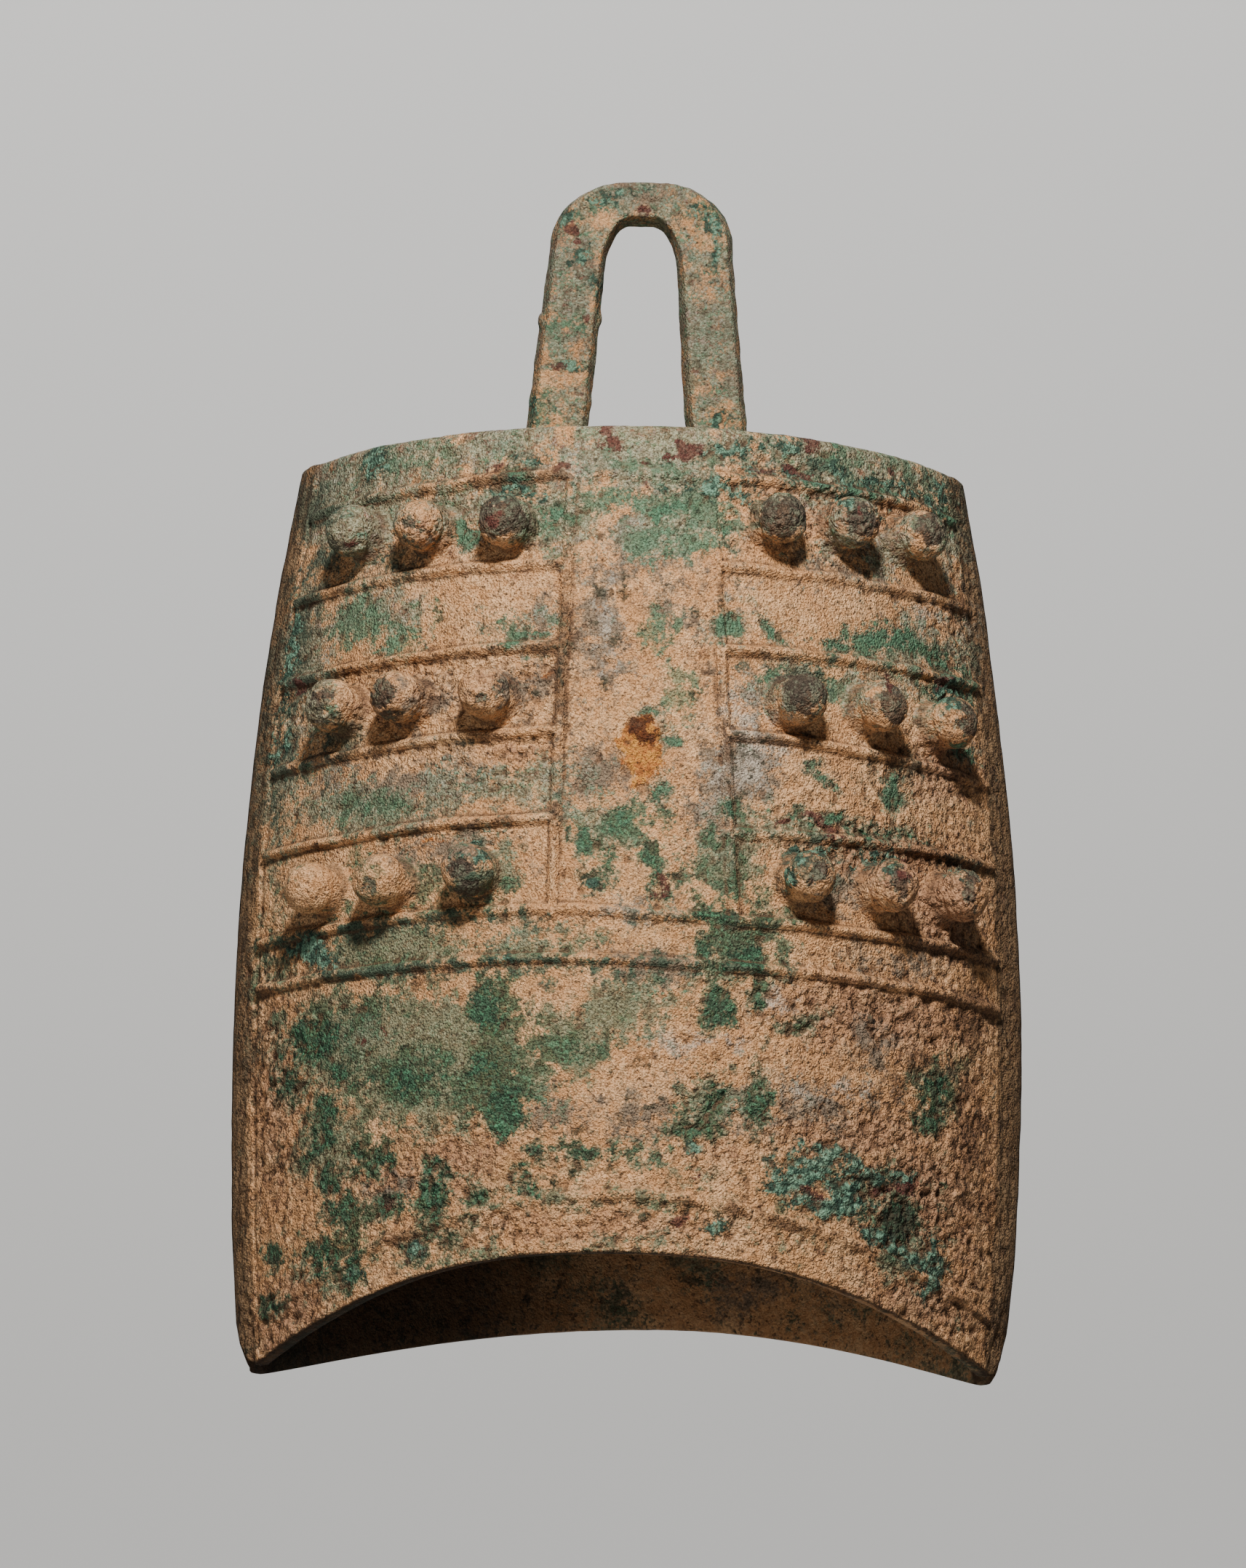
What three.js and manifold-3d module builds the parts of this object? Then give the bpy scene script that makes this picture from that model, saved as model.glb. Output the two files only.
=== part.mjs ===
import * as THREE from 'three';
import { mergeVertices } from 'three/addons/utils/BufferGeometryUtils.js';
import Module from 'manifold-3d';

// An ancient bronze loop bell with an almond section, eighteen bosses on each face and an arched mouth.
// It hangs by its loop and is struck from outside, so it holds no clapper.
// Millimetres. Heights count up from the two mouth tips; the finished group hangs from its origin.

// Bell body
const bodyHeight = 221;
const crownWidth = 160;
const beltWidth = 190;
const beltDepth = 140.6;
const beltHeight = 69;
const mouthWidth = 184;
const wallThickness = 4.5;
const edgeThickness = 5.5;
const crownThickness = 6;
const crownRounding = 2.6;

// Each face is an arc of this half angle, drawn out to the depth of the bell
const faceHalfAngle = THREE.MathUtils.degToRad(62);

// Arched mouth between the two tips
const mouthRise = 21;
const tipInset = 3.5;
const tipRounding = 11;
const mouthApexShare = -0.085;

// Hanging loop
const holeHeight = 61.2;
const holeFootWidth = 25.2;
const holeSpringWidth = 17.8;
const holeSpringHeight = 47;
const seatWidth = 5;
const archThickness = 10.9;
const loopFootWidth = 56;
const loopShoulderWidth = 44.6;
const loopShoulderHeight = 56;
const loopTopWidth = 10;
const loopDepth = 13;
const loopLand = 3;
const loopDraft = 1.3;
const loopOffset = 0.7;
const loopLean = 0.9;
const tenonWidth = 10;
const tenonDepth = 4;
const tenonThickness = 8;

// Bosses
const bossDiameter = 12.2;
const bossHeight = 12.6;
const bossFootDiameter = 14.4;
const bossNeckDiameter = 11.2;
const bossNeckHeight = 4.8;

// Raised cords. Each row of bosses lies between two cords with some play to both
const cordWidth = 2.4;
const cordHeight = 1.6;
const cordCrestWidth = 1.2;
const rowPlay = 2.6;
const beltCordSpacing = 11.3;
const lipCordOffset = 12.4;

// Clearance between pieces, and how far a cutting block runs past what it cuts
const gap = 0.3;
const overrun = 4;

// Smoothness
const faceSteps = 20;
const wallLevels = 12;
const archSteps = 12;
const cordStep = 8.5;
const bossSides = 12;

// Places on a face. Girth shares run from -1 at the left edge to 1 at the right edge, seen from outside,
// and the height shares of the rows from 0 at the tips to 1 at the crown. A boss has the girth share of
// its place, and the share of the row's play that it stands above or below the middle of the row.
const innerCordGirthShares = [-0.17, 0.19];
const outerCordGirthShare = 0.9;
const rowHeightShares = [0.893, 0.7015, 0.5035];
const bossPlaceShares = {
  left: [
    [[-0.675, -0.1], [-0.49, -0.6], [-0.295, -0.9]],
    [[-0.672, -0.4], [-0.509, -0.4], [-0.311, -0.9]],
    [[-0.688, -0.5], [-0.52, -0.7], [-0.331, -0.5]],
  ],
  right: [
    [[0.312, -0.2], [0.487, 0.5], [0.682, 0.5]],
    [[0.338, -0.8], [0.523, -0.5], [0.718, -0.7]],
    [[0.344, -0.5], [0.53, -0.4], [0.718, 0.1]],
  ],
};

const patina = new THREE.MeshStandardMaterial({ color: 0xa98a68, roughness: 0.85, metalness: 0.2 });
const greenPatina = new THREE.MeshStandardMaterial({ color: 0x6d7a60, roughness: 0.85, metalness: 0.2 });
const darkPatina = new THREE.MeshStandardMaterial({ color: 0x8a765c, roughness: 0.8, metalness: 0.25 });

const wasm = await Module();
wasm.setup();

// Solids for cutting and joining
function solidOf(geometry) {
  const bare = geometry.clone();
  bare.deleteAttribute('normal');
  bare.deleteAttribute('uv');
  const merged = mergeVertices(bare);
  return new wasm.Manifold(new wasm.Mesh({
    numProp: 3,
    vertProperties: new Float32Array(merged.attributes.position.array),
    triVerts: new Uint32Array(merged.index.array),
  }));
}

function geometryOf(solid) {
  const { vertProperties, triVerts } = solid.getMesh();
  const geometry = new THREE.BufferGeometry();
  geometry.setAttribute('position', new THREE.BufferAttribute(vertProperties, 3));
  geometry.setIndex(new THREE.BufferAttribute(triVerts, 1));
  geometry.computeVertexNormals();
  return geometry;
}

function piece(name, shape, material) {
  const geometry = shape.isBufferGeometry ? shape : geometryOf(shape);
  const mesh = new THREE.Mesh(geometry, material);
  mesh.name = name;
  return mesh;
}

function block(width, depth, height, x, y, z) {
  return solidOf(new THREE.BoxGeometry(width, depth, height).translate(x, y, z));
}

// Body profile: the half width at a height, and how fast it changes
function halfWidth(height) {
  const above = height > beltHeight;
  const reach = above ? bodyHeight - beltHeight : beltHeight;
  const loss = (beltWidth - (above ? crownWidth : mouthWidth)) / 2;
  return beltWidth / 2 - loss * ((height - beltHeight) / reach) ** 2;
}

function halfWidthSlope(height) {
  const above = height > beltHeight;
  const reach = above ? bodyHeight - beltHeight : beltHeight;
  const loss = (beltWidth - (above ? crownWidth : mouthWidth)) / 2;
  return -2 * loss * (height - beltHeight) / reach ** 2;
}

const depthShare = beltDepth / beltWidth;
const arcRadiusShare = 1 / Math.sin(faceHalfAngle);
const arcCentreShare = 1 / Math.tan(faceHalfAngle);
const arcDepthShare = depthShare / (arcRadiusShare - arcCentreShare);

// Front face of the almond for a half width of one: its place and direction at a girth share
function facePoint(girthShare) {
  const angle = girthShare * faceHalfAngle;
  const across = arcRadiusShare * Math.sin(angle);
  return new THREE.Vector2(across, -arcDepthShare * (arcRadiusShare * Math.cos(angle) - arcCentreShare));
}

function faceDirection(girthShare) {
  const angle = girthShare * faceHalfAngle;
  const across = arcRadiusShare * Math.cos(angle);
  return new THREE.Vector2(across, arcDepthShare * arcRadiusShare * Math.sin(angle))
    .multiplyScalar(faceHalfAngle);
}

// Where a place on the front face lies, with directions along the girth, up the wall and out of it
function wallFrame(girthShare, height) {
  const unit = facePoint(girthShare);
  const turn = faceDirection(girthShare);
  const half = halfWidth(height);
  const slope = halfWidthSlope(height);
  const origin = new THREE.Vector3(unit.x * half, unit.y * half, height);
  const along = new THREE.Vector3(turn.x * half, turn.y * half, 0);
  const up = new THREE.Vector3(unit.x * slope, unit.y * slope, 1);
  const out = new THREE.Vector3().crossVectors(along, up).normalize();
  return { origin, along, up, out, girth: along.length() };
}

function almondOutline() {
  const points = [];
  for (let i = 0; i < faceSteps; i += 1) points.push(facePoint(2 * i / faceSteps - 1));
  const back = points.map((point) => point.clone().negate());
  return new THREE.Shape([...points, ...back]);
}

// A closed almond solid through levels, each with its height, half width and half depth
function almondSolid(levels) {
  const last = levels.length - 1;
  const geometry = new THREE.ExtrudeGeometry(almondOutline(), { depth: 1, steps: last, bevelEnabled: false });
  const { position } = geometry.attributes;
  for (let i = 0; i < position.count; i += 1) {
    const level = levels[Math.round(position.getZ(i) * last)];
    const x = position.getX(i) * level.width;
    const y = position.getY(i) / depthShare * level.depth;
    position.setXYZ(i, x, y, level.height);
  }
  return solidOf(geometry);
}

function wallLevel(height, edgeInset = 0, faceInset = 0) {
  const half = halfWidth(height);
  return { height, width: half - edgeInset, depth: half * depthShare - faceInset };
}

// Height of the mouth's arch at a distance from the middle, highest at its apex
function mouthHeight(x) {
  const tip = mouthWidth / 2 - tipInset;
  const apex = mouthApexShare * mouthWidth / 2;
  const share = (x - apex) / (x < apex ? apex + tip : tip - apex);
  return mouthRise * Math.max(0, 1 - share * share);
}

// What is cut away under one face so that the mouth arches between the tips
function mouthCutter() {
  const half = mouthWidth / 2;
  const tip = half - tipInset;
  const shoulder = halfWidth(tipRounding);
  const outside = Math.max(beltWidth, mouthWidth, crownWidth) / 2 + overrun;
  const outline = new THREE.Shape();
  outline.moveTo(-outside, -overrun).lineTo(-outside, tipRounding + overrun);
  outline.lineTo(-shoulder - gap, tipRounding + overrun).lineTo(-shoulder, tipRounding);
  outline.quadraticCurveTo(-half, 0, -tip, 0);
  for (let i = 1; i < 2 * archSteps; i += 1) {
    const x = tip * (i / archSteps - 1);
    outline.lineTo(x, mouthHeight(x));
  }
  outline.lineTo(tip, 0).quadraticCurveTo(half, 0, shoulder, tipRounding);
  outline.lineTo(shoulder + gap, tipRounding + overrun).lineTo(outside, tipRounding + overrun);
  outline.lineTo(outside, -overrun);
  const depth = outside * depthShare + overrun + gap;
  const geometry = new THREE.ExtrudeGeometry(outline, { depth, bevelEnabled: false, curveSegments: 3 });
  return geometry.rotateX(Math.PI / 2).translate(0, gap, 0);
}

// The wall is open below and ends just under the crown plate
function bellWall() {
  const top = bodyHeight - crownThickness - gap;
  const outer = [];
  const inner = [];
  for (let i = 0; i <= wallLevels; i += 1) {
    const height = top * i / wallLevels;
    outer.push(wallLevel(height));
    inner.push(wallLevel(height, edgeThickness, wallThickness));
  }
  inner[0].height -= overrun;
  inner[wallLevels].height += overrun;
  const frontCut = mouthCutter();
  const backCut = frontCut.clone().rotateZ(Math.PI);
  return almondSolid(outer).subtract(almondSolid(inner)).subtract(solidOf(frontCut)).subtract(solidOf(backCut));
}

// The flat crown with rounded shoulders and a socket for each tenon of the loop
function crownPlate() {
  const base = bodyHeight - crownThickness;
  const turn = bodyHeight - crownRounding;
  const levels = [wallLevel(base), wallLevel(turn)];
  for (const angle of [Math.PI / 6, Math.PI / 3, Math.PI / 2]) {
    const inset = crownRounding * (1 - Math.cos(angle));
    const level = wallLevel(turn, inset, inset);
    level.height = turn + crownRounding * Math.sin(angle);
    levels.push(level);
  }
  let plate = almondSolid(levels);
  for (const x of tenonPlaces()) {
    const depth = tenonDepth + gap + overrun;
    const middle = bodyHeight - tenonDepth - gap + depth / 2;
    plate = plate.subtract(block(tenonWidth + 2 * gap, tenonThickness + 2 * gap, depth, x, 0, middle));
  }
  return plate;
}

function tenonPlaces() {
  const middle = (loopFootWidth + holeFootWidth) / 4;
  return [loopOffset - middle, loopOffset + middle];
}

// One edge of the loop, from under the crown up to its top and down again: straight legs and a round arch
function loopOutline(footWidth, springWidth, springHeight, topWidth, topHeight) {
  const steps = archSteps / 2;
  const half = [new THREE.Vector2(footWidth / 2, -tenonDepth - overrun), new THREE.Vector2(footWidth / 2, 0)];
  for (let i = 0; i <= steps; i += 1) {
    const angle = Math.PI / 2 * i / steps;
    const x = topWidth / 2 + (springWidth - topWidth) / 2 * Math.cos(angle);
    half.push(new THREE.Vector2(x, springHeight + (topHeight - springHeight) * Math.sin(angle)));
  }
  const other = half.map((point) => new THREE.Vector2(-point.x, point.y)).reverse();
  return [...half, ...other];
}

// The loop stands on the crown: a tapered arch, thickest at the seam of its two mould halves
function suspensionLoop() {
  const topHeight = holeHeight + archThickness;
  const outer = loopOutline(loopFootWidth, loopShoulderWidth, loopShoulderHeight, loopTopWidth, topHeight);
  const hole = loopOutline(holeFootWidth, holeSpringWidth, holeSpringHeight, seatWidth, holeHeight);
  const outline = new THREE.Shape([...outer, ...hole.reverse()]);
  const geometry = new THREE.ExtrudeGeometry(outline, {
    depth: loopLand,
    bevelThickness: (loopDepth - loopLand) / 2,
    bevelSize: loopDraft,
    bevelOffset: -loopDraft,
    bevelSegments: 1,
  });
  geometry.translate(0, 0, -loopLand / 2).rotateX(Math.PI / 2).translate(0, 0, bodyHeight);
  leanLoop(geometry, topHeight);
  const wide = loopFootWidth + overrun;
  const above = block(wide, loopDepth + overrun, topHeight + overrun, loopOffset, 0,
    bodyHeight + gap + (topHeight + overrun) / 2);
  let loop = solidOf(geometry).intersect(above);
  for (const x of tenonPlaces()) {
    const height = tenonDepth + overrun;
    loop = loop.add(block(tenonWidth, tenonThickness, height, x, 0, bodyHeight - tenonDepth + height / 2));
  }
  return loop;
}

function leanLoop(geometry, topHeight) {
  const { position } = geometry.attributes;
  for (let i = 0; i < position.count; i += 1) {
    const share = Math.min(1, Math.max(0, position.getZ(i) - bodyHeight) / topHeight);
    position.setX(i, position.getX(i) + loopOffset + loopLean * share);
  }
}

const rowHalfHeight = bossFootDiameter / 2 + rowPlay + cordWidth / 2;
const rowHeights = rowHeightShares.map((share) => share * bodyHeight);
const topCordHeight = rowHeights[0] + rowHalfHeight;
const upperBeltHeight = rowHeights[2] - rowHalfHeight;
const lowerBeltHeight = upperBeltHeight - beltCordSpacing;

// A domed boss on a flared neck, its foot shaped to the wall behind it
function boss(girthShare, height) {
  const radius = bossDiameter / 2;
  const domeHeight = bossHeight - radius;
  const profile = [new THREE.Vector2(0, 0), new THREE.Vector2(bossFootDiameter / 2, 0)];
  profile.push(new THREE.Vector2((bossFootDiameter + bossNeckDiameter) / 4, bossNeckHeight / 2));
  profile.push(new THREE.Vector2(bossNeckDiameter / 2, bossNeckHeight));
  for (const angle of [0, Math.PI / 6, Math.PI / 3]) {
    profile.push(new THREE.Vector2(radius * Math.cos(angle), domeHeight + radius * Math.sin(angle)));
  }
  profile.push(new THREE.Vector2(0, bossHeight));
  const geometry = new THREE.LatheGeometry(profile, bossSides);
  return seatOnWall(geometry, girthShare, height);
}

function seatOnWall(geometry, girthShare, height) {
  const place = wallFrame(girthShare, height);
  const { position } = geometry.attributes;
  for (let i = 0; i < position.count; i += 1) {
    const across = position.getX(i);
    const rise = -position.getZ(i);
    const out = position.getY(i);
    const onWall = wallFrame(girthShare + across / place.girth, height + rise / place.up.length());
    const spot = onWall.origin.addScaledVector(onWall.out, gap);
    if (out > 0) {
      spot.copy(place.origin).addScaledVector(place.along, across / place.girth);
      spot.addScaledVector(place.up, rise / place.up.length()).addScaledVector(place.out, out + gap);
    }
    position.setXYZ(i, spot.x, spot.y, spot.z);
  }
  return solidOf(geometry);
}

// A raised cord along a route of girth shares and heights, lying on the wall
function cord(route) {
  const steps = route.length - 1;
  const section = new THREE.Shape();
  section.moveTo(-cordWidth / 2, 0).lineTo(cordWidth / 2, 0);
  section.lineTo(cordCrestWidth / 2, cordHeight).lineTo(-cordCrestWidth / 2, cordHeight);
  const geometry = new THREE.ExtrudeGeometry(section, { depth: 1, steps, bevelEnabled: false });
  const frames = route.map(([girthShare, height]) => wallFrame(girthShare, height));
  const { position } = geometry.attributes;
  for (let i = 0; i < position.count; i += 1) {
    const at = Math.round(position.getZ(i) * steps);
    const { origin, out } = frames[at];
    const onward = frames[Math.min(at + 1, steps)].origin.clone().sub(frames[Math.max(at - 1, 0)].origin);
    const side = new THREE.Vector3().crossVectors(onward, out).normalize();
    const spot = origin.clone().addScaledVector(side, -position.getX(i));
    spot.addScaledVector(out, position.getY(i) + gap);
    position.setXYZ(i, spot.x, spot.y, spot.z);
  }
  return solidOf(geometry);
}

function levelCord(from, to, height) {
  const steps = Math.ceil(Math.abs(to - from) * wallFrame(0, height).girth / cordStep);
  const route = [];
  for (let i = 0; i <= steps; i += 1) route.push([from + (to - from) * i / steps, height]);
  return cord(route);
}

function uprightCord(girthShare, from, to) {
  const steps = Math.ceil(Math.abs(to - from) / cordStep);
  const route = [];
  for (let i = 0; i <= steps; i += 1) route.push([girthShare, from + (to - from) * i / steps]);
  return cord(route);
}

// The cord above the mouth follows its arch from one outer cord to the other
function lipCordHeight(girthShare) {
  return mouthHeight(facePoint(girthShare).x * mouthWidth / 2) + lipCordOffset;
}

function lipCord() {
  const steps = 2 * archSteps;
  const route = [];
  for (let i = 0; i <= steps; i += 1) {
    const girthShare = outerCordGirthShare * (2 * i / steps - 1);
    route.push([girthShare, lipCordHeight(girthShare)]);
  }
  return cord(route);
}

function joined(solids) {
  return solids.reduce((whole, solid) => whole.add(solid));
}

// The cords round the bosses on one side of a face, between the top cord and the upper belt cord
function panelCords(side) {
  const inner = innerCordGirthShares[side === 'left' ? 0 : 1];
  const outer = side === 'left' ? -outerCordGirthShare : outerCordGirthShare;
  const clear = cordWidth / 2 + gap;
  const top = topCordHeight - clear;
  const bottom = upperBeltHeight + clear;
  const uprights = [uprightCord(inner, bottom, top), uprightCord(outer, bottom, top)];
  const [first, second, third] = rowHeights;
  const heights = [first - rowHalfHeight, second + rowHalfHeight, second - rowHalfHeight, third + rowHalfHeight];
  return joined([...uprights, ...heights.map((height) => levelCord(inner, outer, height))]);
}

// The cords under the bosses: two round the belt and a frame round the striking face
function borderCords() {
  const outer = outerCordGirthShare;
  const belts = [upperBeltHeight, lowerBeltHeight].map((height) => levelCord(-outer, outer, height));
  const sides = [-outer, outer].map((share) => uprightCord(share, lipCordHeight(share), upperBeltHeight));
  return joined([...belts, ...sides, lipCord()]);
}

function topCord() {
  return levelCord(-outerCordGirthShare, outerCordGirthShare, topCordHeight);
}

// Everything on one face; the back face is the front turned half round
function dressedFace(face) {
  const group = new THREE.Group();
  group.add(piece(`top_cord_${face}`, topCord(), greenPatina));
  group.add(piece(`border_cords_${face}`, borderCords(), patina));
  for (const side of ['left', 'right']) {
    group.add(piece(`panel_cords_${face}_${side}`, panelCords(side), patina));
    bossPlaceShares[side].forEach((row, rowIndex) => row.forEach(([girthShare, playShare], column) => {
      const name = `boss_${face}_${side}_row${rowIndex + 1}_${column + 1}`;
      const height = rowHeights[rowIndex] + playShare * (rowPlay - gap);
      group.add(piece(name, boss(girthShare, height), darkPatina));
    }));
  }
  return group;
}

const bell = new THREE.Group();
bell.add(piece('bell_wall', bellWall(), patina));
bell.add(piece('crown_plate', crownPlate(), greenPatina));
bell.add(piece('suspension_loop', suspensionLoop(), greenPatina));
bell.add(dressedFace('front'));
const backFace = dressedFace('back');
backFace.rotation.z = Math.PI;
bell.add(backFace);

// The top of the loop's hole, where a hook bears, is the origin
const seatPlace = loopOffset + loopLean * holeHeight / (holeHeight + archThickness);
bell.position.set(-seatPlace, 0, -bodyHeight - holeHeight);

const part = new THREE.Group();
part.add(bell);

export default part;
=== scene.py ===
import math

import bpy
import numpy as np
from mathutils import Matrix, Vector


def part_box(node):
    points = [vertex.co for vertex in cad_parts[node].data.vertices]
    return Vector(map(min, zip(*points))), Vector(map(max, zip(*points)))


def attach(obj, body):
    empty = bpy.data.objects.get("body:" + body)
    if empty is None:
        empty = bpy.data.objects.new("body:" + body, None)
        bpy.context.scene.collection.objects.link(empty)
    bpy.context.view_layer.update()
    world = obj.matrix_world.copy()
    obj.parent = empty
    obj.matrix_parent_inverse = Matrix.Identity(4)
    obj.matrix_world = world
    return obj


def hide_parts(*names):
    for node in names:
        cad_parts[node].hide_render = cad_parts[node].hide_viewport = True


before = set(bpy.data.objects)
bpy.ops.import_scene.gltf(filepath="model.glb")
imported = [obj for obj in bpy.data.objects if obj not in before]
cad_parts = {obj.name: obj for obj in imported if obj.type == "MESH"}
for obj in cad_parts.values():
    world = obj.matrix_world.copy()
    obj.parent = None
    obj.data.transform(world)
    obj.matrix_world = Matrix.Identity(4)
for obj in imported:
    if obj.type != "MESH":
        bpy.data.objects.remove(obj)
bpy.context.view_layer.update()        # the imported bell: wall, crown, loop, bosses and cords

MM = 0.001

# The bell's main sizes and its axis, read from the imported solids
WALL_LOW, WALL_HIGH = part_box("bell_wall")
CROWN_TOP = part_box("crown_plate")[1].z
AXIS = np.array([(WALL_LOW.x + WALL_HIGH.x) / 2, 0.0, WALL_LOW.z])
BODY_HEIGHT = CROWN_TOP - WALL_LOW.z
BELT_HALF = (WALL_HIGH.x - WALL_LOW.x) / 2
DEPTH_SHARE = (WALL_HIGH.y - WALL_LOW.y) / (WALL_HIGH.x - WALL_LOW.x)

# Sizes that the solids share, in metres, as the bell was laid out
CROWN_HALF = 80 * MM
MOUTH_HALF = 92 * MM
BELT_HEIGHT = 69 * MM
WALL_THICKNESS = 4.5 * MM
EDGE_THICKNESS = 5.5 * MM
CROWN_THICKNESS = 6 * MM
CROWN_ROUNDING = 2.6 * MM
FACE_HALF_ANGLE = math.radians(62)
MOUTH_RISE = 21 * MM
TIP_INSET = 3.5 * MM
TIP_ROUNDING = 11 * MM
MOUTH_APEX_SHARE = -0.085

# Cords and bosses: shares of the girth from -1 to 1, heights above the mouth tips, and how far each boss
# lies off the middle of its row as a share of ROW_PLAY
INNER_CORDS = (-0.17, 0.19)
OUTER_CORD = 0.9
ROW_HEIGHTS = [share * BODY_HEIGHT for share in (0.893, 0.7015, 0.5035)]
ROW_HALF = 11 * MM
ROW_PLAY = 2.3 * MM
BELT_CORD_SPACING = 11.3 * MM
LIP_CORD_OFFSET = 12.4 * MM
BOSS_PLACES = {
    "left": [
        [(-0.675, -0.1), (-0.49, -0.6), (-0.295, -0.9)],
        [(-0.672, -0.4), (-0.509, -0.4), (-0.311, -0.9)],
        [(-0.688, -0.5), (-0.52, -0.7), (-0.331, -0.5)],
    ],
    "right": [
        [(0.312, -0.2), (0.487, 0.5), (0.682, 0.5)],
        [(0.338, -0.8), (0.523, -0.5), (0.718, -0.7)],
        [(0.344, -0.5), (0.53, -0.4), (0.718, 0.1)],
    ],
}

# Level cords: height, the shares of the girth where they start and end, and how many millimetres they
# stray at DRIFT_SHARES, measured on the photograph
DRIFT_SHARES = (-0.9, -0.17, 0.19, 0.9)
TOP_CORD = ROW_HEIGHTS[0] + ROW_HALF
BELT_CORD = ROW_HEIGHTS[2] - ROW_HALF
WHOLE = (-OUTER_CORD, OUTER_CORD)
LEFT_PANEL, RIGHT_PANEL = (-OUTER_CORD, INNER_CORDS[0]), (INNER_CORDS[1], OUTER_CORD)
LEVEL_CORDS = [
    (TOP_CORD, (WHOLE,), (-1.9, 0.1, -0.2, 0.0)),
    (ROW_HEIGHTS[0] - ROW_HALF, (LEFT_PANEL, RIGHT_PANEL), (-1.2, 0.0, -0.8, 0.0)),
    (ROW_HEIGHTS[1] + ROW_HALF, (LEFT_PANEL, RIGHT_PANEL), (-1.3, -0.4, -0.8, 0.9)),
    (ROW_HEIGHTS[1] - ROW_HALF, (LEFT_PANEL, RIGHT_PANEL), (-0.9, 0.6, 0.6, -1.0)),
    (ROW_HEIGHTS[2] + ROW_HALF, (LEFT_PANEL, RIGHT_PANEL), (0.3, 1.2, -1.6, 0.7)),
    (BELT_CORD, (WHOLE,), (0.8, 1.2, -1.1, -0.2)),
    (BELT_CORD - BELT_CORD_SPACING, (WHOLE,), (0.7, 0.6, -0.7, -0.9)),
]
LIP_CORD_DRIFT = ((-0.9, -0.6, -0.35, 0.04, 0.45, 0.8), (-3.0, -1.5, -1.2, -0.4, -0.6, -0.6))
INNER_CORD_SHIFTS = (0.012, -0.022)
INNER_CORD_LEAN = 0.035
SIDE_RIDGE = 0.93
SIDE_GROOVE = 0.912

# The camera stands below the mouth, far off, and looks up at the bell
PHOTO_WIDTH, PHOTO_HEIGHT = 1713, 2156
CAMERA_DISTANCE = 3.5
CAMERA_RISE = math.radians(10.5)
CAMERA_YAW = math.radians(1.5)
CAMERA_ROLL = math.radians(0.69)
FOCAL_PIXELS = 19900
SENSOR_MM = 36
AIM_HEIGHT = 147 * MM
AIM_RIGHT = -1.5 * MM
AIM_UP = -2.8 * MM

# Finish: how proud the crust and cords stand, and how finely the surface is cut into faces
CORD_HEIGHT = 1.45 * MM
CORD_RADIUS = 1.15 * MM
CRUST = 0.3 * MM
BUMP_DEPTH = 0.78 * MM
# How deep a recess is for full painted shade, and how often the relief is smoothed to find it
HOLLOW_DEPTH = 0.22 * MM
HOLLOW_PASSES = 5
PLAIN_INSET = 0.6 * MM
LIP_THINNING = 1.7 * MM
LIP_DROP = 1.8 * MM
WALL_COLUMNS = 285
WALL_ROWS = 280
INNER_ROWS = 54
CROWN_COLUMNS = 141
CROWN_ROWS = 91
BOSS_SIDES = 56
BOSS_RINGS = 38
LOOP_SIDES = 128
LOOP_RINGS = 300


# Noise that is the same on every run; noise and grains take their size in millimetres

NOISE_SHIFT = 1000.0        # keeps the numbers of the cells above 0
NOISE_GAIN = 1.7            # brings the summed noise to about -1 to 1
FINER_SHARE = 0.55          # the strength of each finer layer of noise beside the one before


def lattice(ix, iy, iz, seed):
    """A number between -1 and 1 for each cell, from its place and the seed, mixed with large odd numbers."""
    mixed = (ix * 374761393 + iy * 668265263 + iz * 1440662683 + seed * 1274126177) & 0xFFFFFFFF
    mixed = ((mixed ^ (mixed >> 13)) * 1274126177) & 0xFFFFFFFF
    return ((mixed ^ (mixed >> 16)) & 0xFFFF) / 32767.5 - 1


def smooth_noise(points, size, seed):
    cell = points / size + NOISE_SHIFT
    base = np.floor(cell).astype(np.int64)
    part = cell - base
    fade = part * part * part * (part * (part * 6 - 15) + 10)
    total = 0
    for corner in range(8):
        step = np.array([corner & 1, corner >> 1 & 1, corner >> 2 & 1])
        weight = np.prod(np.where(step == 1, fade, 1 - fade), axis=-1)
        spot = base + step
        total = total + weight * lattice(spot[..., 0], spot[..., 1], spot[..., 2], seed)
    return total


def noise(points, size, seed, octaves=3):
    total, reach, strength = 0, 0, 1.0
    for octave in range(octaves):
        total = total + strength * smooth_noise(points, size * MM / 2 ** octave, seed + 31 * octave)
        reach += strength
        strength *= FINER_SHARE
    return NOISE_GAIN * total / reach


def grains(points, size, seed):
    """Rounded grains packed side by side: near 1 on their tops, 0 or less in the gaps."""
    cell = points / (size * MM) + NOISE_SHIFT
    base = np.floor(cell).astype(np.int64)
    nearest = np.full(points.shape[:-1], 9.0)
    for step in np.ndindex(3, 3, 3):
        spot = base + np.array(step) - 1
        ix, iy, iz = spot[..., 0], spot[..., 1], spot[..., 2]
        centre = spot + 0.5 + 0.45 * np.stack([lattice(ix, iy, iz, seed + k) for k in range(3)], axis=-1)
        nearest = np.minimum(nearest, ((centre - cell) ** 2).sum(axis=-1))
    return 1 - nearest / 0.45


def step_up(value, low, high):
    """0 up to low, 1 from high on, and smooth between them."""
    share = np.clip((value - low) / (high - low), 0, 1)
    return share * share * (3 - 2 * share)


def hump(offset, width, power=2):
    """1 at no offset, falling off smoothly past the width."""
    return np.exp(-(offset / width) ** power)


def unit(vectors):
    return vectors / np.linalg.norm(vectors, axis=-1, keepdims=True)


def add_object(name, data):
    piece = bpy.data.objects.new(name, data)
    bpy.context.scene.collection.objects.link(piece)
    return piece


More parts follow.
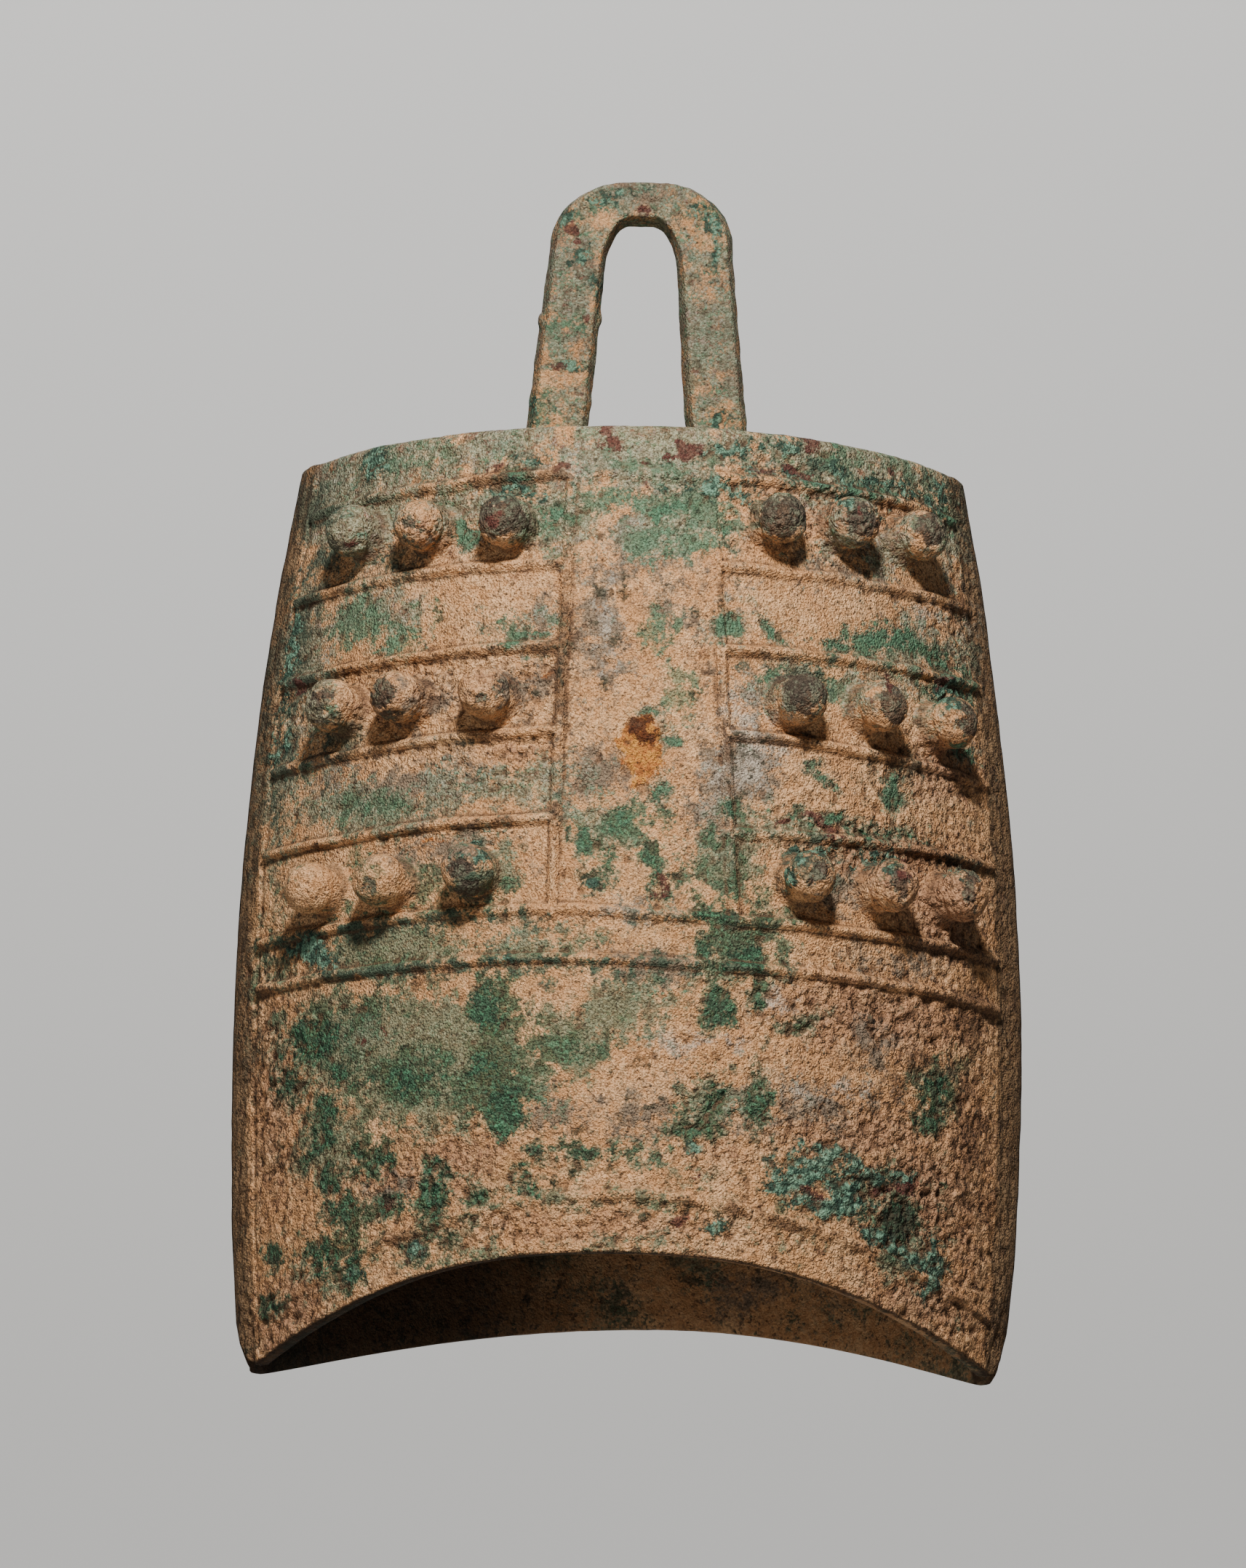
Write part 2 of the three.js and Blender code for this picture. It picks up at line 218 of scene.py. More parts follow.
# The almond wall: places and directions on one face, in the bell's own frame above the mouth tips

def half_width(height):
    """Half the wall's width at a height, and how fast it changes there."""
    above = height > BELT_HEIGHT
    reach = np.where(above, BODY_HEIGHT - BELT_HEIGHT, BELT_HEIGHT)
    loss = BELT_HALF - np.where(above, CROWN_HALF, MOUTH_HALF)
    rise = height - BELT_HEIGHT
    return BELT_HALF - loss * (rise / reach) ** 2, -2 * loss * rise / reach ** 2


ARC_RADIUS = 1 / math.sin(FACE_HALF_ANGLE)
ARC_CENTRE = 1 / math.tan(FACE_HALF_ANGLE)
ARC_DEPTH = DEPTH_SHARE / (ARC_RADIUS - ARC_CENTRE)


def unit_face(girth_share):
    """Where a share of the girth lies on a face whose half width is 1."""
    angle = girth_share * FACE_HALF_ANGLE
    return ARC_RADIUS * np.sin(angle), -ARC_DEPTH * (ARC_RADIUS * np.cos(angle) - ARC_CENTRE)


def wall_place(girth_share, height, inset=0.0, edge_inset=0.0):
    """A point of the plain wall, or one that lies deeper in it."""
    girth_share, height = np.broadcast_arrays(girth_share, height)
    x, y = unit_face(girth_share)
    half = half_width(height)[0]
    return np.stack([x * (half - edge_inset), y * (half - inset / DEPTH_SHARE), height], axis=-1)


def wall_frame(girth_share, height):
    """The directions along the girth and up, both at the wall's own rate, and straight out."""
    girth_share, height = np.broadcast_arrays(girth_share, height)
    angle = girth_share * FACE_HALF_ANGLE
    x, y = unit_face(girth_share)
    half, slope = half_width(height)
    turn_x = ARC_RADIUS * np.cos(angle) * FACE_HALF_ANGLE
    turn_y = ARC_DEPTH * ARC_RADIUS * np.sin(angle) * FACE_HALF_ANGLE
    along = np.stack([turn_x * half, turn_y * half, np.zeros_like(half)], axis=-1)
    up = np.stack([x * slope, y * slope, np.ones_like(half)], axis=-1)
    return along, up, unit(np.cross(along, up))


def girth_length(height):
    return np.linalg.norm(wall_frame(0.5, height)[0], axis=-1)


def mouth_height(x):
    tip = MOUTH_HALF - TIP_INSET
    apex = MOUTH_APEX_SHARE * MOUTH_HALF
    share = (x - apex) / np.where(x < apex, apex + tip, tip - apex)
    return MOUTH_RISE * np.maximum(0, 1 - share * share)


def mouth_edge(girth_share):
    """The height of the lip, with its arch and its rounded tips."""
    x = unit_face(girth_share)[0] * MOUTH_HALF
    tip_share = (MOUTH_HALF - TIP_INSET) / MOUTH_HALF
    corner = np.clip((np.abs(x) / MOUTH_HALF - tip_share) / (1 - tip_share), 0, 1)
    return mouth_height(x) + TIP_ROUNDING * corner ** 2


# Where a point of the front face shows in the photograph, in its pixels

def camera_axes():
    sin_r, cos_r = math.sin(CAMERA_RISE), math.cos(CAMERA_RISE)
    sin_y, cos_y = math.sin(CAMERA_YAW), math.cos(CAMERA_YAW)
    forward = np.array([sin_y * cos_r, cos_y * cos_r, sin_r])
    level = np.array([cos_y, -sin_y, 0.0])
    upright = np.cross(level, forward)
    right = level * math.cos(CAMERA_ROLL) + upright * math.sin(CAMERA_ROLL)
    return right, np.cross(right, forward), forward


def camera_place():
    right, up, forward = camera_axes()
    aim = np.array([0.0, 0.0, AIM_HEIGHT]) + right * AIM_RIGHT + up * AIM_UP
    return aim - forward * CAMERA_DISTANCE


def photo_pixels(points):
    right, up, forward = camera_axes()
    offset = points - camera_place()
    depth = offset @ forward
    x = PHOTO_WIDTH / 2 + FOCAL_PIXELS * (offset @ right) / depth
    y = PHOTO_HEIGHT / 2 - FOCAL_PIXELS * (offset @ up) / depth
    return x, y


def make_camera():
    right, up, forward = camera_axes()
    place = camera_place() + AXIS
    data = bpy.data.cameras.new("camera")
    data.sensor_fit = "AUTO"
    data.sensor_width = SENSOR_MM
    data.lens = SENSOR_MM * FOCAL_PIXELS / PHOTO_HEIGHT
    data.clip_end = 50
    camera = add_object("camera", data)
    turn = Matrix((right, up, -forward)).transposed().to_4x4()
    camera.matrix_world = Matrix.Translation(Vector(place)) @ turn
    bpy.context.scene.camera = camera


make_camera()


# Patches of the patina, placed as ellipses seen in the photograph: x, y, half width and half
# height in pixels, and the turn in degrees where there is one

EMERALD_PATCHES = [
    # Along the top cord, the crown band and the upper panels
    (715, 666, 24, 13), (642, 728, 16, 18, 20), (756, 706, 26, 10), (905, 706, 16, 9), (935, 698, 22, 8),
    (992, 718, 13, 18), (1112, 662, 46, 7, 4), (1164, 668, 34, 10, 10), (1148, 634, 7, 12),
    (1236, 676, 50, 7, 14), (1303, 700, 12, 20, -10), (1000, 862, 22, 20, 10), (1051, 858, 18, 9, 40),
    (706, 872, 28, 10, 10), (1160, 882, 22, 11), (1220, 880, 30, 13), (1284, 900, 34, 11, 22),
    (1330, 926, 9, 12), (1062, 930, 16, 9), (1136, 1062, 9, 14, -25), (1231, 1088, 12, 18, -10),
    (1014, 1112, 12, 14), (1320, 1036, 14, 14),
    # Middle of the centre panel and the third row
    (852, 1128, 12, 24, 20), (800, 1156, 18, 14), (838, 1182, 7, 20, 20), (812, 1212, 18, 12, -20),
    (889, 1174, 13, 14), (903, 1214, 7, 22, -4), (930, 1210, 12, 6), (1012, 1186, 12, 24),
    (897, 980, 17, 10, 10), (922, 1011, 12, 13), (910, 1096, 14, 24, 10), (986, 1150, 10, 20),
    (1150, 1130, 46, 9, 10), (1208, 1150, 34, 8, 8),
    # Belt and field right of centre
    (985, 1262, 30, 10, 4), (1040, 1262, 34, 8, 4), (974, 1298, 15, 16), (1034, 1312, 28, 20),
    (984, 1382, 21, 32), (1042, 1368, 11, 26), (1092, 1414, 32, 11, -26), (982, 1514, 14, 20),
    (972, 1546, 15, 12), (950, 1552, 18, 8), (1042, 1518, 16, 34), (1285, 1532, 20, 22),
    (1299, 1500, 12, 28), (1276, 1484, 20, 12), (1180, 1624, 12, 12), (1222, 1702, 12, 9),
    (1241, 1680, 24, 26, 20),
    # Belt and field left of centre
    (668, 1392, 22, 44), (430, 1430, 28, 30), (392, 1490, 12, 26), (462, 1412, 12, 14),
    (450, 1520, 12, 36, 14), (432, 1576, 13, 34, 26), (500, 1488, 40, 9), (560, 1484, 44, 16, 4),
    (668, 1470, 30, 22), (690, 1530, 30, 36),
    # Spots toward the lip
    (492, 1586, 10, 9), (519, 1592, 17, 16), (455, 1632, 9, 28), (482, 1672, 17, 24, 20),
    (588, 1640, 17, 34), (600, 1676, 12, 28, -20), (609, 1606, 12, 10), (613, 1708, 8, 16),
    (650, 1652, 13, 22, 10), (722, 1634, 11, 16), (742, 1588, 11, 9), (798, 1586, 20, 11),
    (440, 1726, 19, 28), (484, 1736, 16, 24), (572, 1724, 16, 20), (372, 1734, 12, 15),
    (520, 1664, 18, 12, -10), (372, 1797, 10, 11),
]
SAGE_VEILS = [
    # The crown band and the top cord are mostly grey-green
    (640, 622, 260, 52, -9), (900, 618, 220, 60), (1180, 640, 170, 60, 9), (480, 700, 90, 76, -10),
    (760, 710, 80, 60), (930, 715, 90, 60), (1110, 690, 120, 26, 6), (1310, 720, 30, 90, -8),
    (640, 690, 60, 50),
    # Upper panels and the left edge
    (420, 900, 50, 130, 8), (500, 850, 90, 50, -12), (376, 1060, 40, 150, 6), (470, 1105, 60, 50, -10),
    (712, 868, 40, 22, -6), (1000, 856, 40, 36), (1230, 890, 120, 34, 8), (1160, 946, 34, 44),
    (1090, 940, 60, 40), (1240, 945, 70, 30, 10), (690, 1080, 90, 30, -6), (690, 1200, 60, 50),
    (1150, 744, 34, 20), (1120, 1140, 90, 26, 6), (990, 1200, 56, 50), (850, 1140, 60, 50),
    (520, 1120, 60, 24), (1220, 760, 20, 34),
    # Belt band and field
    (560, 1312, 230, 44, -9), (720, 1300, 110, 50), (1010, 1310, 60, 50), (560, 1450, 220, 100, 4),
    (840, 1390, 60, 50), (780, 1420, 80, 60), (450, 1570, 50, 60, 20), (870, 1580, 40, 16),
    (1130, 640, 160, 40, 6), (460, 1740, 80, 40), (1160, 1634, 90, 34, 14), (780, 1716, 110, 10, -3),
    (1250, 1720, 50, 40, 20), (900, 1655, 130, 20, 6), (970, 1630, 50, 24), (970, 1530, 40, 50),
]
GREY_VEILS = [
    (880, 740, 30, 60), (960, 800, 60, 26), (915, 850, 26, 34), (970, 870, 20, 60), (740, 850, 30, 40),
    (1020, 960, 20, 50), (984, 1090, 20, 80), (770, 1000, 10, 90), (975, 520, 36, 60), (880, 272, 30, 12),
    (806, 525, 10, 22), (990, 420, 24, 40), (770, 330, 14, 40), (870, 720, 20, 60), (868, 780, 80, 30),
    (828, 860, 34, 70), (974, 930, 18, 44), (590, 960, 60, 30), (720, 940, 50, 44),
    (560, 1080, 120, 34, -10), (1034, 950, 34, 60), (1020, 1050, 50, 40), (640, 1170, 100, 34, -6),
    (830, 1060, 60, 40), (460, 1070, 60, 44), (975, 1110, 24, 60), (860, 1330, 100, 24),
    (500, 1410, 60, 40), (1190, 1436, 34, 22, 20), (1170, 1230, 40, 34), (650, 610, 110, 30, -6),
    (440, 660, 60, 50, -10), (1150, 780, 60, 20, 8), (500, 760, 80, 26, -10), (900, 1540, 90, 40),
    (1130, 1520, 60, 30), (760, 1530, 40, 30), (1060, 1530, 60, 40), (880, 1240, 60, 20),
    (1250, 1320, 70, 30, 6), (540, 1640, 40, 30), (720, 1200, 50, 40), (520, 1020, 60, 24, -10),
]
PALE_VEILS = [
    (1030, 1046, 36, 44), (1060, 992, 30, 16), (1268, 862, 24, 34), (1020, 985, 22, 50),
    (1040, 1030, 40, 18), (1020, 1060, 30, 40), (1064, 1388, 36, 26), (965, 1432, 60, 10),
    (1130, 1500, 60, 6), (838, 850, 14, 60), (850, 1256, 60, 12), (985, 1110, 14, 60), (700, 1290, 40, 12),
    (1310, 690, 12, 50, -8), (1345, 850, 10, 70, -6), (1268, 638, 34, 16, 20), (790, 640, 60, 20),
]
TURQUOISE_PATCHES = [
    (832, 272, 16, 8), (984, 325, 6, 24), (785, 508, 18, 9), (740, 560, 12, 9), (800, 352, 10, 8),
    (990, 578, 14, 9), (868, 262, 14, 5), (784, 290, 12, 7), (965, 292, 10, 7), (826, 404, 6, 12),
    (514, 636, 16, 34, 14), (516, 610, 22, 10), (700, 676, 30, 8), (980, 668, 40, 8, 4), (1080, 614, 24, 8),
    (1196, 706, 20, 9, 20), (1300, 946, 12, 16), (1296, 668, 14, 8, 30), (398, 900, 10, 50, 8),
    (378, 1010, 10, 30), (1085, 1626, 32, 18, -20), (1140, 1592, 26, 18, -10), (1128, 1652, 40, 16, 10),
    (1196, 1618, 34, 10, 26), (1242, 1622, 14, 12), (1160, 1640, 24, 20), (1204, 1696, 28, 12, 20),
    (1238, 1722, 32, 12, 36), (1285, 1744, 16, 28), (1279, 1772, 9, 14, 30), (991, 1688, 13, 11),
    (960, 1580, 9, 10), (484, 1745, 12, 10), (571, 1722, 10, 10), (1066, 1596, 10, 8), (1095, 1588, 6, 9),
    (810, 1216, 10, 8), (430, 1312, 26, 20), (690, 1316, 20, 6), (652, 1178, 17, 12),
    (1104, 1178, 24, 8, -16), (1084, 1200, 8, 16), (1206, 1186, 22, 10), (1330, 1200, 20, 7),
    (1160, 690, 14, 8), (1090, 655, 50, 6, 4), (1150, 648, 12, 10), (1200, 662, 40, 5, 10),
    (1180, 668, 26, 7, 8), (1262, 684, 30, 6, 20), (1110, 1610, 44, 14, -20), (1172, 1604, 12, 16),
    (1150, 1652, 54, 14, 10), (1262, 1736, 26, 12, 40), (1000, 622, 60, 8), (1306, 958, 22, 8, 24),
    (730, 640, 20, 6),
]
CUPRITE_PATCHES = [
    (944, 618, 20, 13, -8), (926, 623, 12, 4), (834, 594, 11, 9), (820, 614, 10, 7), (846, 612, 7, 10),
    (772, 642, 22, 5), (886, 637, 6, 5, 40), (1057, 652, 13, 5), (1098, 649, 20, 7), (1124, 613, 17, 8),
    (1232, 652, 8, 5), (409, 944, 9, 9), (1296, 938, 7, 8), (1272, 932, 12, 4), (1075, 1122, 12, 5),
    (1119, 1124, 8, 9), (1130, 1140, 9, 14, -30), (1142, 1155, 16, 4, 6), (905, 1222, 3, 12),
    (524, 1412, 8, 8), (497, 1430, 4, 6), (540, 1655, 7, 6), (722, 1650, 5, 5), (945, 1678, 9, 7),
    (959, 1617, 6, 4), (1056, 1582, 5, 5), (1114, 1638, 16, 9), (1222, 1640, 26, 7, 10),
    (1246, 1636, 10, 9), (786, 311, 12, 12), (890, 291, 10, 7), (766, 510, 11, 8), (805, 432, 8, 6),
    (799, 330, 5, 6), (1222, 940, 6, 14, -25), (960, 426, 5, 5), (1000, 598, 8, 4),
    (1126, 1126, 7, 12, -20), (1110, 1117, 10, 8), (1140, 1144, 8, 8, -20), (1184, 706, 5, 9),
    (680, 713, 9, 9), (884, 666, 4, 12), (1243, 1200, 8, 14), (676, 652, 24, 4, -8), (398, 690, 5, 12),
    (475, 744, 10, 5),
]
RUST_PATCHES = [
    (880, 1038, 32, 28), (860, 1028, 20, 20), (866, 1014, 24, 16, 20), (892, 1004, 20, 18),
    (884, 1064, 20, 10), (753, 922, 8, 6), (586, 1155, 10, 4),
]
RUST_CORES = [(888, 998, 22, 13), (886, 1012, 15, 9)]
BROWN_PATCHES = [
    # (1310, 1188) is a painted shadow under the crust; the rest are brown crust
    (889, 1001, 22, 12), (700, 655, 40, 8, -8), (1320, 1316, 34, 12, 10), (1310, 1188, 24, 7),
    (780, 910, 6, 50), (560, 1694, 50, 12, -20), (480, 1370, 100, 8, -8), (590, 950, 18, 20),
    (760, 940, 8, 40), (620, 1716, 40, 8, -14), (974, 905, 7, 46), (962, 870, 5, 30), (1330, 1560, 24, 120),
    (350, 1500, 16, 140), (1150, 1704, 90, 7, 16), (980, 1662, 70, 6, 6), (1340, 1400, 34, 60),
    (1352, 1640, 14, 140), (338, 1300, 12, 90), (1118, 1404, 12, 6, -26), (1262, 1466, 44, 20),
    (1236, 1500, 20, 34), (1320, 840, 12, 30), (390, 1600, 40, 16), (1020, 752, 20, 12), (720, 752, 20, 14),
]
ROUGH_PATCHES = [
    (1325, 1620, 40, 200), (1250, 1660, 90, 110), (1200, 1400, 180, 60, 6), (820, 1690, 260, 26),
    (400, 1800, 90, 50, -40), (1270, 1790, 110, 50, 24), (1160, 706, 140, 44, 6), (560, 960, 150, 30, -8),
    (680, 1030, 60, 20), (1320, 850, 26, 60), (1290, 1060, 80, 50, 10), (1300, 1250, 70, 80),
    (1220, 1180, 140, 60, 8), (560, 1620, 160, 40), (600, 740, 60, 30), (1320, 950, 30, 40),
    (1180, 1560, 140, 50), (380, 1500, 40, 160), (620, 1590, 90, 40), (980, 1540, 40, 60),
]
JADE_VEILS = [
    (780, 446, 36, 12), (975, 292, 28, 10), (800, 300, 30, 12, -40), (748, 560, 20, 20), (990, 580, 28, 16),
    (1150, 1622, 100, 26, 12), (1232, 1690, 50, 40, 20), (1180, 655, 130, 20, 8), (700, 670, 60, 18, -8),
    (930, 640, 90, 14), (430, 1440, 46, 60), (560, 1480, 120, 44, 4), (680, 1490, 60, 76),
    (676, 1390, 40, 60), (750, 1436, 70, 36, -6), (446, 1540, 26, 56, 20), (500, 1384, 70, 20, -10),
    (690, 1316, 120, 16, -3), (540, 1326, 150, 14, -9), (820, 1440, 36, 16), (1010, 1290, 50, 50),
    (1000, 1224, 50, 30), (965, 1200, 24, 18), (860, 1130, 44, 40, -20), (905, 1120, 26, 30),
    (1200, 884, 100, 22, 8), (1120, 664, 110, 18, 6), (1260, 686, 60, 18, 20), (740, 694, 60, 20),
    (950, 740, 50, 36), (500, 856, 50, 44), (550, 880, 30, 30), (472, 880, 30, 36), (600, 840, 16, 26),
    (712, 868, 36, 16), (1140, 944, 24, 34), (1300, 940, 44, 26, 20), (660, 1250, 90, 12, -5),
    (476, 1110, 24, 22), (522, 1114, 26, 20), (430, 1300, 60, 24, -8), (575, 1226, 14, 28),
    (700, 1224, 40, 24), (496, 1166, 18, 14), (1300, 1500, 36, 50, 14), (590, 1650, 28, 50),
    (460, 1720, 60, 34), (510, 1600, 34, 24), (880, 690, 90, 24), (560, 640, 80, 12, -10),
    (500, 1345, 100, 12, -8), (640, 1330, 90, 12, -5), (770, 1326, 80, 9, -2), (700, 1262, 100, 9, -4),
    (740, 716, 50, 34), (960, 706, 70, 40), (890, 740, 24, 30), (900, 860, 30, 34), (940, 940, 24, 30),
    (935, 1528, 13, 12), (755, 1535, 8, 8), (850, 1580, 50, 12, 4), (1180, 640, 90, 16, 8),
    (505, 1216, 18, 20), (1180, 1146, 70, 14, 8), (1236, 1190, 20, 20), (640, 1210, 30, 34),
    (1076, 1640, 30, 24), (1290, 1470, 24, 20),
]
TEAL_VEILS = [
    (414, 862, 26, 60, 8), (400, 940, 26, 60, 8), (384, 1030, 22, 50, 8), (380, 1100, 16, 40),
    (452, 770, 30, 30), (548, 766, 24, 30, 20), (1008, 752, 20, 16), (1241, 1680, 26, 24, 20),
    (1296, 1504, 18, 36, 14), (470, 1010, 30, 30), (1124, 1050, 14, 12), (1240, 1060, 14, 18),
    (1188, 1062, 9, 12, 30), (470, 1296, 90, 14, -9), (1104, 950, 34, 32), (650, 1214, 30, 36),
    (1130, 640, 40, 16), (1108, 1190, 30, 30), (1290, 890, 24, 16), (700, 1266, 100, 7),
    (760, 1336, 140, 7), (1030, 910, 60, 8), (430, 700, 30, 40), (1150, 1214, 14, 14),
]
OCHRE_VEILS = [
    (760, 385, 22, 40), (796, 484, 12, 24), (775, 568, 40, 14), (926, 282, 8, 22), (953, 271, 9, 8),
    (906, 264, 7, 16), (957, 576, 14, 16), (1000, 490, 10, 20), (958, 360, 12, 44), (1130, 690, 30, 14, 6),
    (1210, 668, 44, 8, 12), (640, 664, 60, 14, -14), (540, 1590, 60, 24), (600, 1290, 70, 12, -8),
    (520, 628, 10, 16), (1010, 600, 30, 12), (1150, 700, 70, 14, 4), (690, 1620, 60, 30),
    (1290, 1190, 40, 16), (440, 1180, 30, 12), (1130, 632, 20, 8), (550, 620, 10, 40), (980, 1540, 40, 30),
    (880, 1650, 100, 14, 4),
]
# Small dark spots; those below the lip lie on the inside of the far wall
SPOTS = [
    (1240, 1684, 20, 22), (1192, 1626, 16, 9), (1108, 1642, 12, 7), (1150, 1634, 6, 12), (712, 690, 5, 5),
    (736, 720, 6, 4), (764, 690, 5, 6), (752, 742, 6, 5), (910, 690, 6, 5), (936, 722, 5, 6),
    (958, 700, 5, 5), (986, 742, 6, 5), (1010, 700, 5, 6), (925, 752, 6, 4), (890, 716, 4, 6),
    (836, 940, 8, 9), (1012, 1028, 5, 5), (1034, 1040, 6, 5), (1008, 1056, 6, 6), (1022, 1074, 7, 5),
    (1048, 1046, 5, 7), (1040, 1082, 5, 5), (1016, 1092, 6, 5), (1054, 1066, 4, 5), (998, 1040, 4, 6),
    (875, 1465, 12, 5), (897, 1478, 5, 8), (862, 1507, 8, 6), (895, 1522, 6, 5), (910, 1517, 6, 3),
    (850, 1530, 5, 9), (795, 1556, 7, 10), (742, 1588, 9, 7), (806, 1588, 12, 8), (790, 1606, 8, 10),
    (836, 1605, 9, 6), (845, 1580, 5, 4), (760, 1625, 8, 6), (1018, 1608, 9, 8), (1003, 1625, 4, 4),
    (886, 1681, 13, 9), (943, 1660, 8, 5), (1038, 1570, 12, 6, 10), (965, 843, 16, 4), (985, 838, 16, 4),
    (880, 864, 6, 5), (815, 862, 9, 5), (852, 880, 6, 12), (858, 808, 7, 16), (826, 808, 9, 7),
    (957, 954, 13, 6, 10), (922, 1204, 10, 5), (885, 1164, 10, 6), (800, 1206, 9, 10), (776, 935, 5, 30),
    (1017, 797, 7, 5), (640, 1025, 16, 5), (484, 1037, 20, 6, -8), (445, 1086, 8, 8), (604, 836, 6, 9),
    (480, 836, 5, 5), (705, 772, 10, 4), (735, 948, 7, 6), (486, 940, 5, 7), (430, 1716, 6, 5),
    (536, 1650, 10, 6), (372, 1736, 7, 10), (370, 1798, 8, 8), (352, 1852, 8, 7), (500, 1782, 10, 5),
    # (1310, 1180) is a painted shadow under the crust
    (560, 1392, 8, 6), (548, 1440, 6, 6), (1310, 1180, 20, 8), (1240, 1036, 14, 5, 10), (1110, 1008, 9, 4),
    (1016, 1040, 6, 7), (1000, 1070, 6, 8), (1030, 1062, 5, 5), (1044, 1020, 6, 5), (1010, 1010, 8, 4),
    (950, 1757, 22, 12), (990, 1772, 22, 7, 8), (1040, 1756, 20, 11), (926, 1813, 13, 5),
    (726, 1776, 9, 20), (772, 1766, 8, 14), (1090, 1762, 30, 8, 10), (1194, 1808, 8, 8),
    (1160, 1800, 4, 14), (1228, 1842, 8, 6), (900, 1830, 60, 4), (1100, 1836, 60, 4, 4),
    (640, 1806, 14, 12),
]

# Bare dark metal on the domes of the bosses
CAP_PATCHES = [
    (472, 748, 20, 8, 10), (562, 722, 10, 14), (592, 738, 10, 7), (693, 712, 35, 30), (1077, 710, 40, 35),
    (1186, 716, 27, 32), (1284, 726, 22, 28, -20), (443, 957, 14, 13), (436, 972, 8, 15, 10),
    (529, 953, 17, 25), (538, 983, 14, 9, 25), (660, 955, 6, 7), (692, 946, 15, 8, -15),
    (1106, 950, 38, 34), (1230, 966, 22, 31), (1334, 988, 18, 27, -10), (506, 1216, 8, 10),
    (632, 1194, 17, 15), (650, 1222, 22, 14), (1130, 1196, 14, 14), (1117, 1214, 4, 4),
    (1240, 1210, 15, 26), (1340, 1222, 12, 22),
]

# Single lumps (proud) and chips (sunk): x, y, half width, half height in pixels, and rise in millimetres
LUMPS = [
    (841, 642, 11, 14, 0.8), (843, 622, 5, 12, 0.4), (510, 700, 6, 4, 0.6), (753, 922, 14, 8, -0.5),
    (886, 1006, 16, 12, 0.5), (929, 286, 8, 26, 0.5), (897, 268, 14, 8, 0.6), (946, 275, 10, 6, 0.4),
    (892, 292, 12, 7, -0.5), (829, 440, 6, 12, 1.0), (742, 440, 6, 9, 0.7), (800, 555, 20, 10, 0.3),
    (1130, 708, 16, 18, 0.5), (1090, 690, 14, 8, 0.4), (1310, 935, 20, 10, 0.6), (1300, 1300, 24, 8, 0.5),
    (1320, 1780, 30, 10, 0.8), (1250, 1790, 30, 8, 0.5), (640, 1030, 30, 10, 0.3), (1180, 722, 8, 10, 0.4),
    (1088, 1419, 28, 10, -0.4), (1236, 1676, 24, 22, -0.4), (905, 1221, 5, 18, -0.4),
]


FAR_OUTSIDE = -200.0


def patch_depth(x, y, table):
    """How far inside the nearest patch a pixel lies, in pixels; negative outside."""
    best = np.full(np.shape(x), FAR_OUTSIDE)
    for centre_x, centre_y, half_x, half_y, *turn in table:
        angle = math.radians(turn[0]) if turn else 0.0
        cos_t, sin_t = math.cos(angle), math.sin(angle)
        dx, dy = x - centre_x, y - centre_y
        along = (dx * cos_t + dy * sin_t) / half_x
        across = (dy * cos_t - dx * sin_t) / half_y
        depth = (1 - np.sqrt(along ** 2 + across ** 2)) * min(half_x, half_y)
        best = np.maximum(best, depth)
    return best


def patch_share(x, y, table, softness):
    return 0.5 + np.clip(patch_depth(x, y, table) / (2 * softness), -0.5, 0.5)


# Each kind of patina: its patches, how many pixels its edge takes, and its share of the ragged, the spotty
# and the cloudy noise
KINDS = {
    "emerald": (EMERALD_PATCHES, 18, 1, 0, 0),
    "turquoise": (TURQUOISE_PATCHES, 18, 0, 1, 0),
    "cuprite": (CUPRITE_PATCHES, 10, 0, 0.7, 0),
    "sage": (SAGE_VEILS, 46, 1, 0, 1),
    "grey": (GREY_VEILS, 50, 0, 1, 1),
    "pale": (PALE_VEILS, 40, 1, 0, 0),
    "rust": (RUST_PATCHES, 12, 0.5, 0, 0),
    "core": (RUST_CORES, 12, 0, 0.7, 0),
    "brown": (BROWN_PATCHES, 24, 0, 1, 0),
    "rough": (ROUGH_PATCHES, 60, 0, 0, 0),
    "jade": (JADE_VEILS, 36, 1, 0, 0.5),
    "teal": (TEAL_VEILS, 30, 0, 1, 0),
    "ochre": (OCHRE_VEILS, 36, 1, 0, 0),
    "cap": (CAP_PATCHES, 9, 0, 1, 0),
    "spot": (SPOTS, 8, 0, 0.8, 0),
}

# The back face was not photographed: it carries the same kinds of patches, mirrored and shifted
BACK_SHIFT = 60


def patina(local, placed, face):
    """Shares of each patina at points of a face: local in the front's frame, placed where they lie."""
    x, y = photo_pixels(local)
    if face == "back":
        x = PHOTO_WIDTH - x + BACK_SHIFT * noise(placed, 60, 401, 1)
        y = y + BACK_SHIFT * noise(placed, 70, 402, 1)
    warp_x = 8 * noise(placed, 8, 11) + 5 * noise(placed, 2.6, 12, 2)
    warp_y = 8 * noise(placed, 8, 13) + 5 * noise(placed, 2.6, 14, 2)
    x, y = x + warp_x, y + warp_y
    ragged = 0.16 * noise(placed, 5, 15) + 0.18 * noise(placed, 2, 16, 2)
    spotty = 0.16 * noise(placed, 4, 17) + 0.14 * noise(placed, 1.8, 18, 2)
    cloud = 0.22 * noise(placed, 22, 19)
    return {key: patch_share(x, y, table, edge) + torn * ragged + dotted * spotty + drift * cloud
            for key, (table, edge, torn, dotted, drift) in KINDS.items()}


# Relief of the outer wall

def crowded(low, high, count, centres, reach, gain):
    """Positions from low to high that lie closer together round the centres."""
    fine = np.linspace(low, high, 6000)
    density = 1 + gain * sum(hump(fine - centre, reach) for centre in centres)
    length = np.concatenate([[0], np.cumsum((density[1:] + density[:-1]) / 2)])
    return np.interp(np.linspace(0, length[-1], count), length, fine)


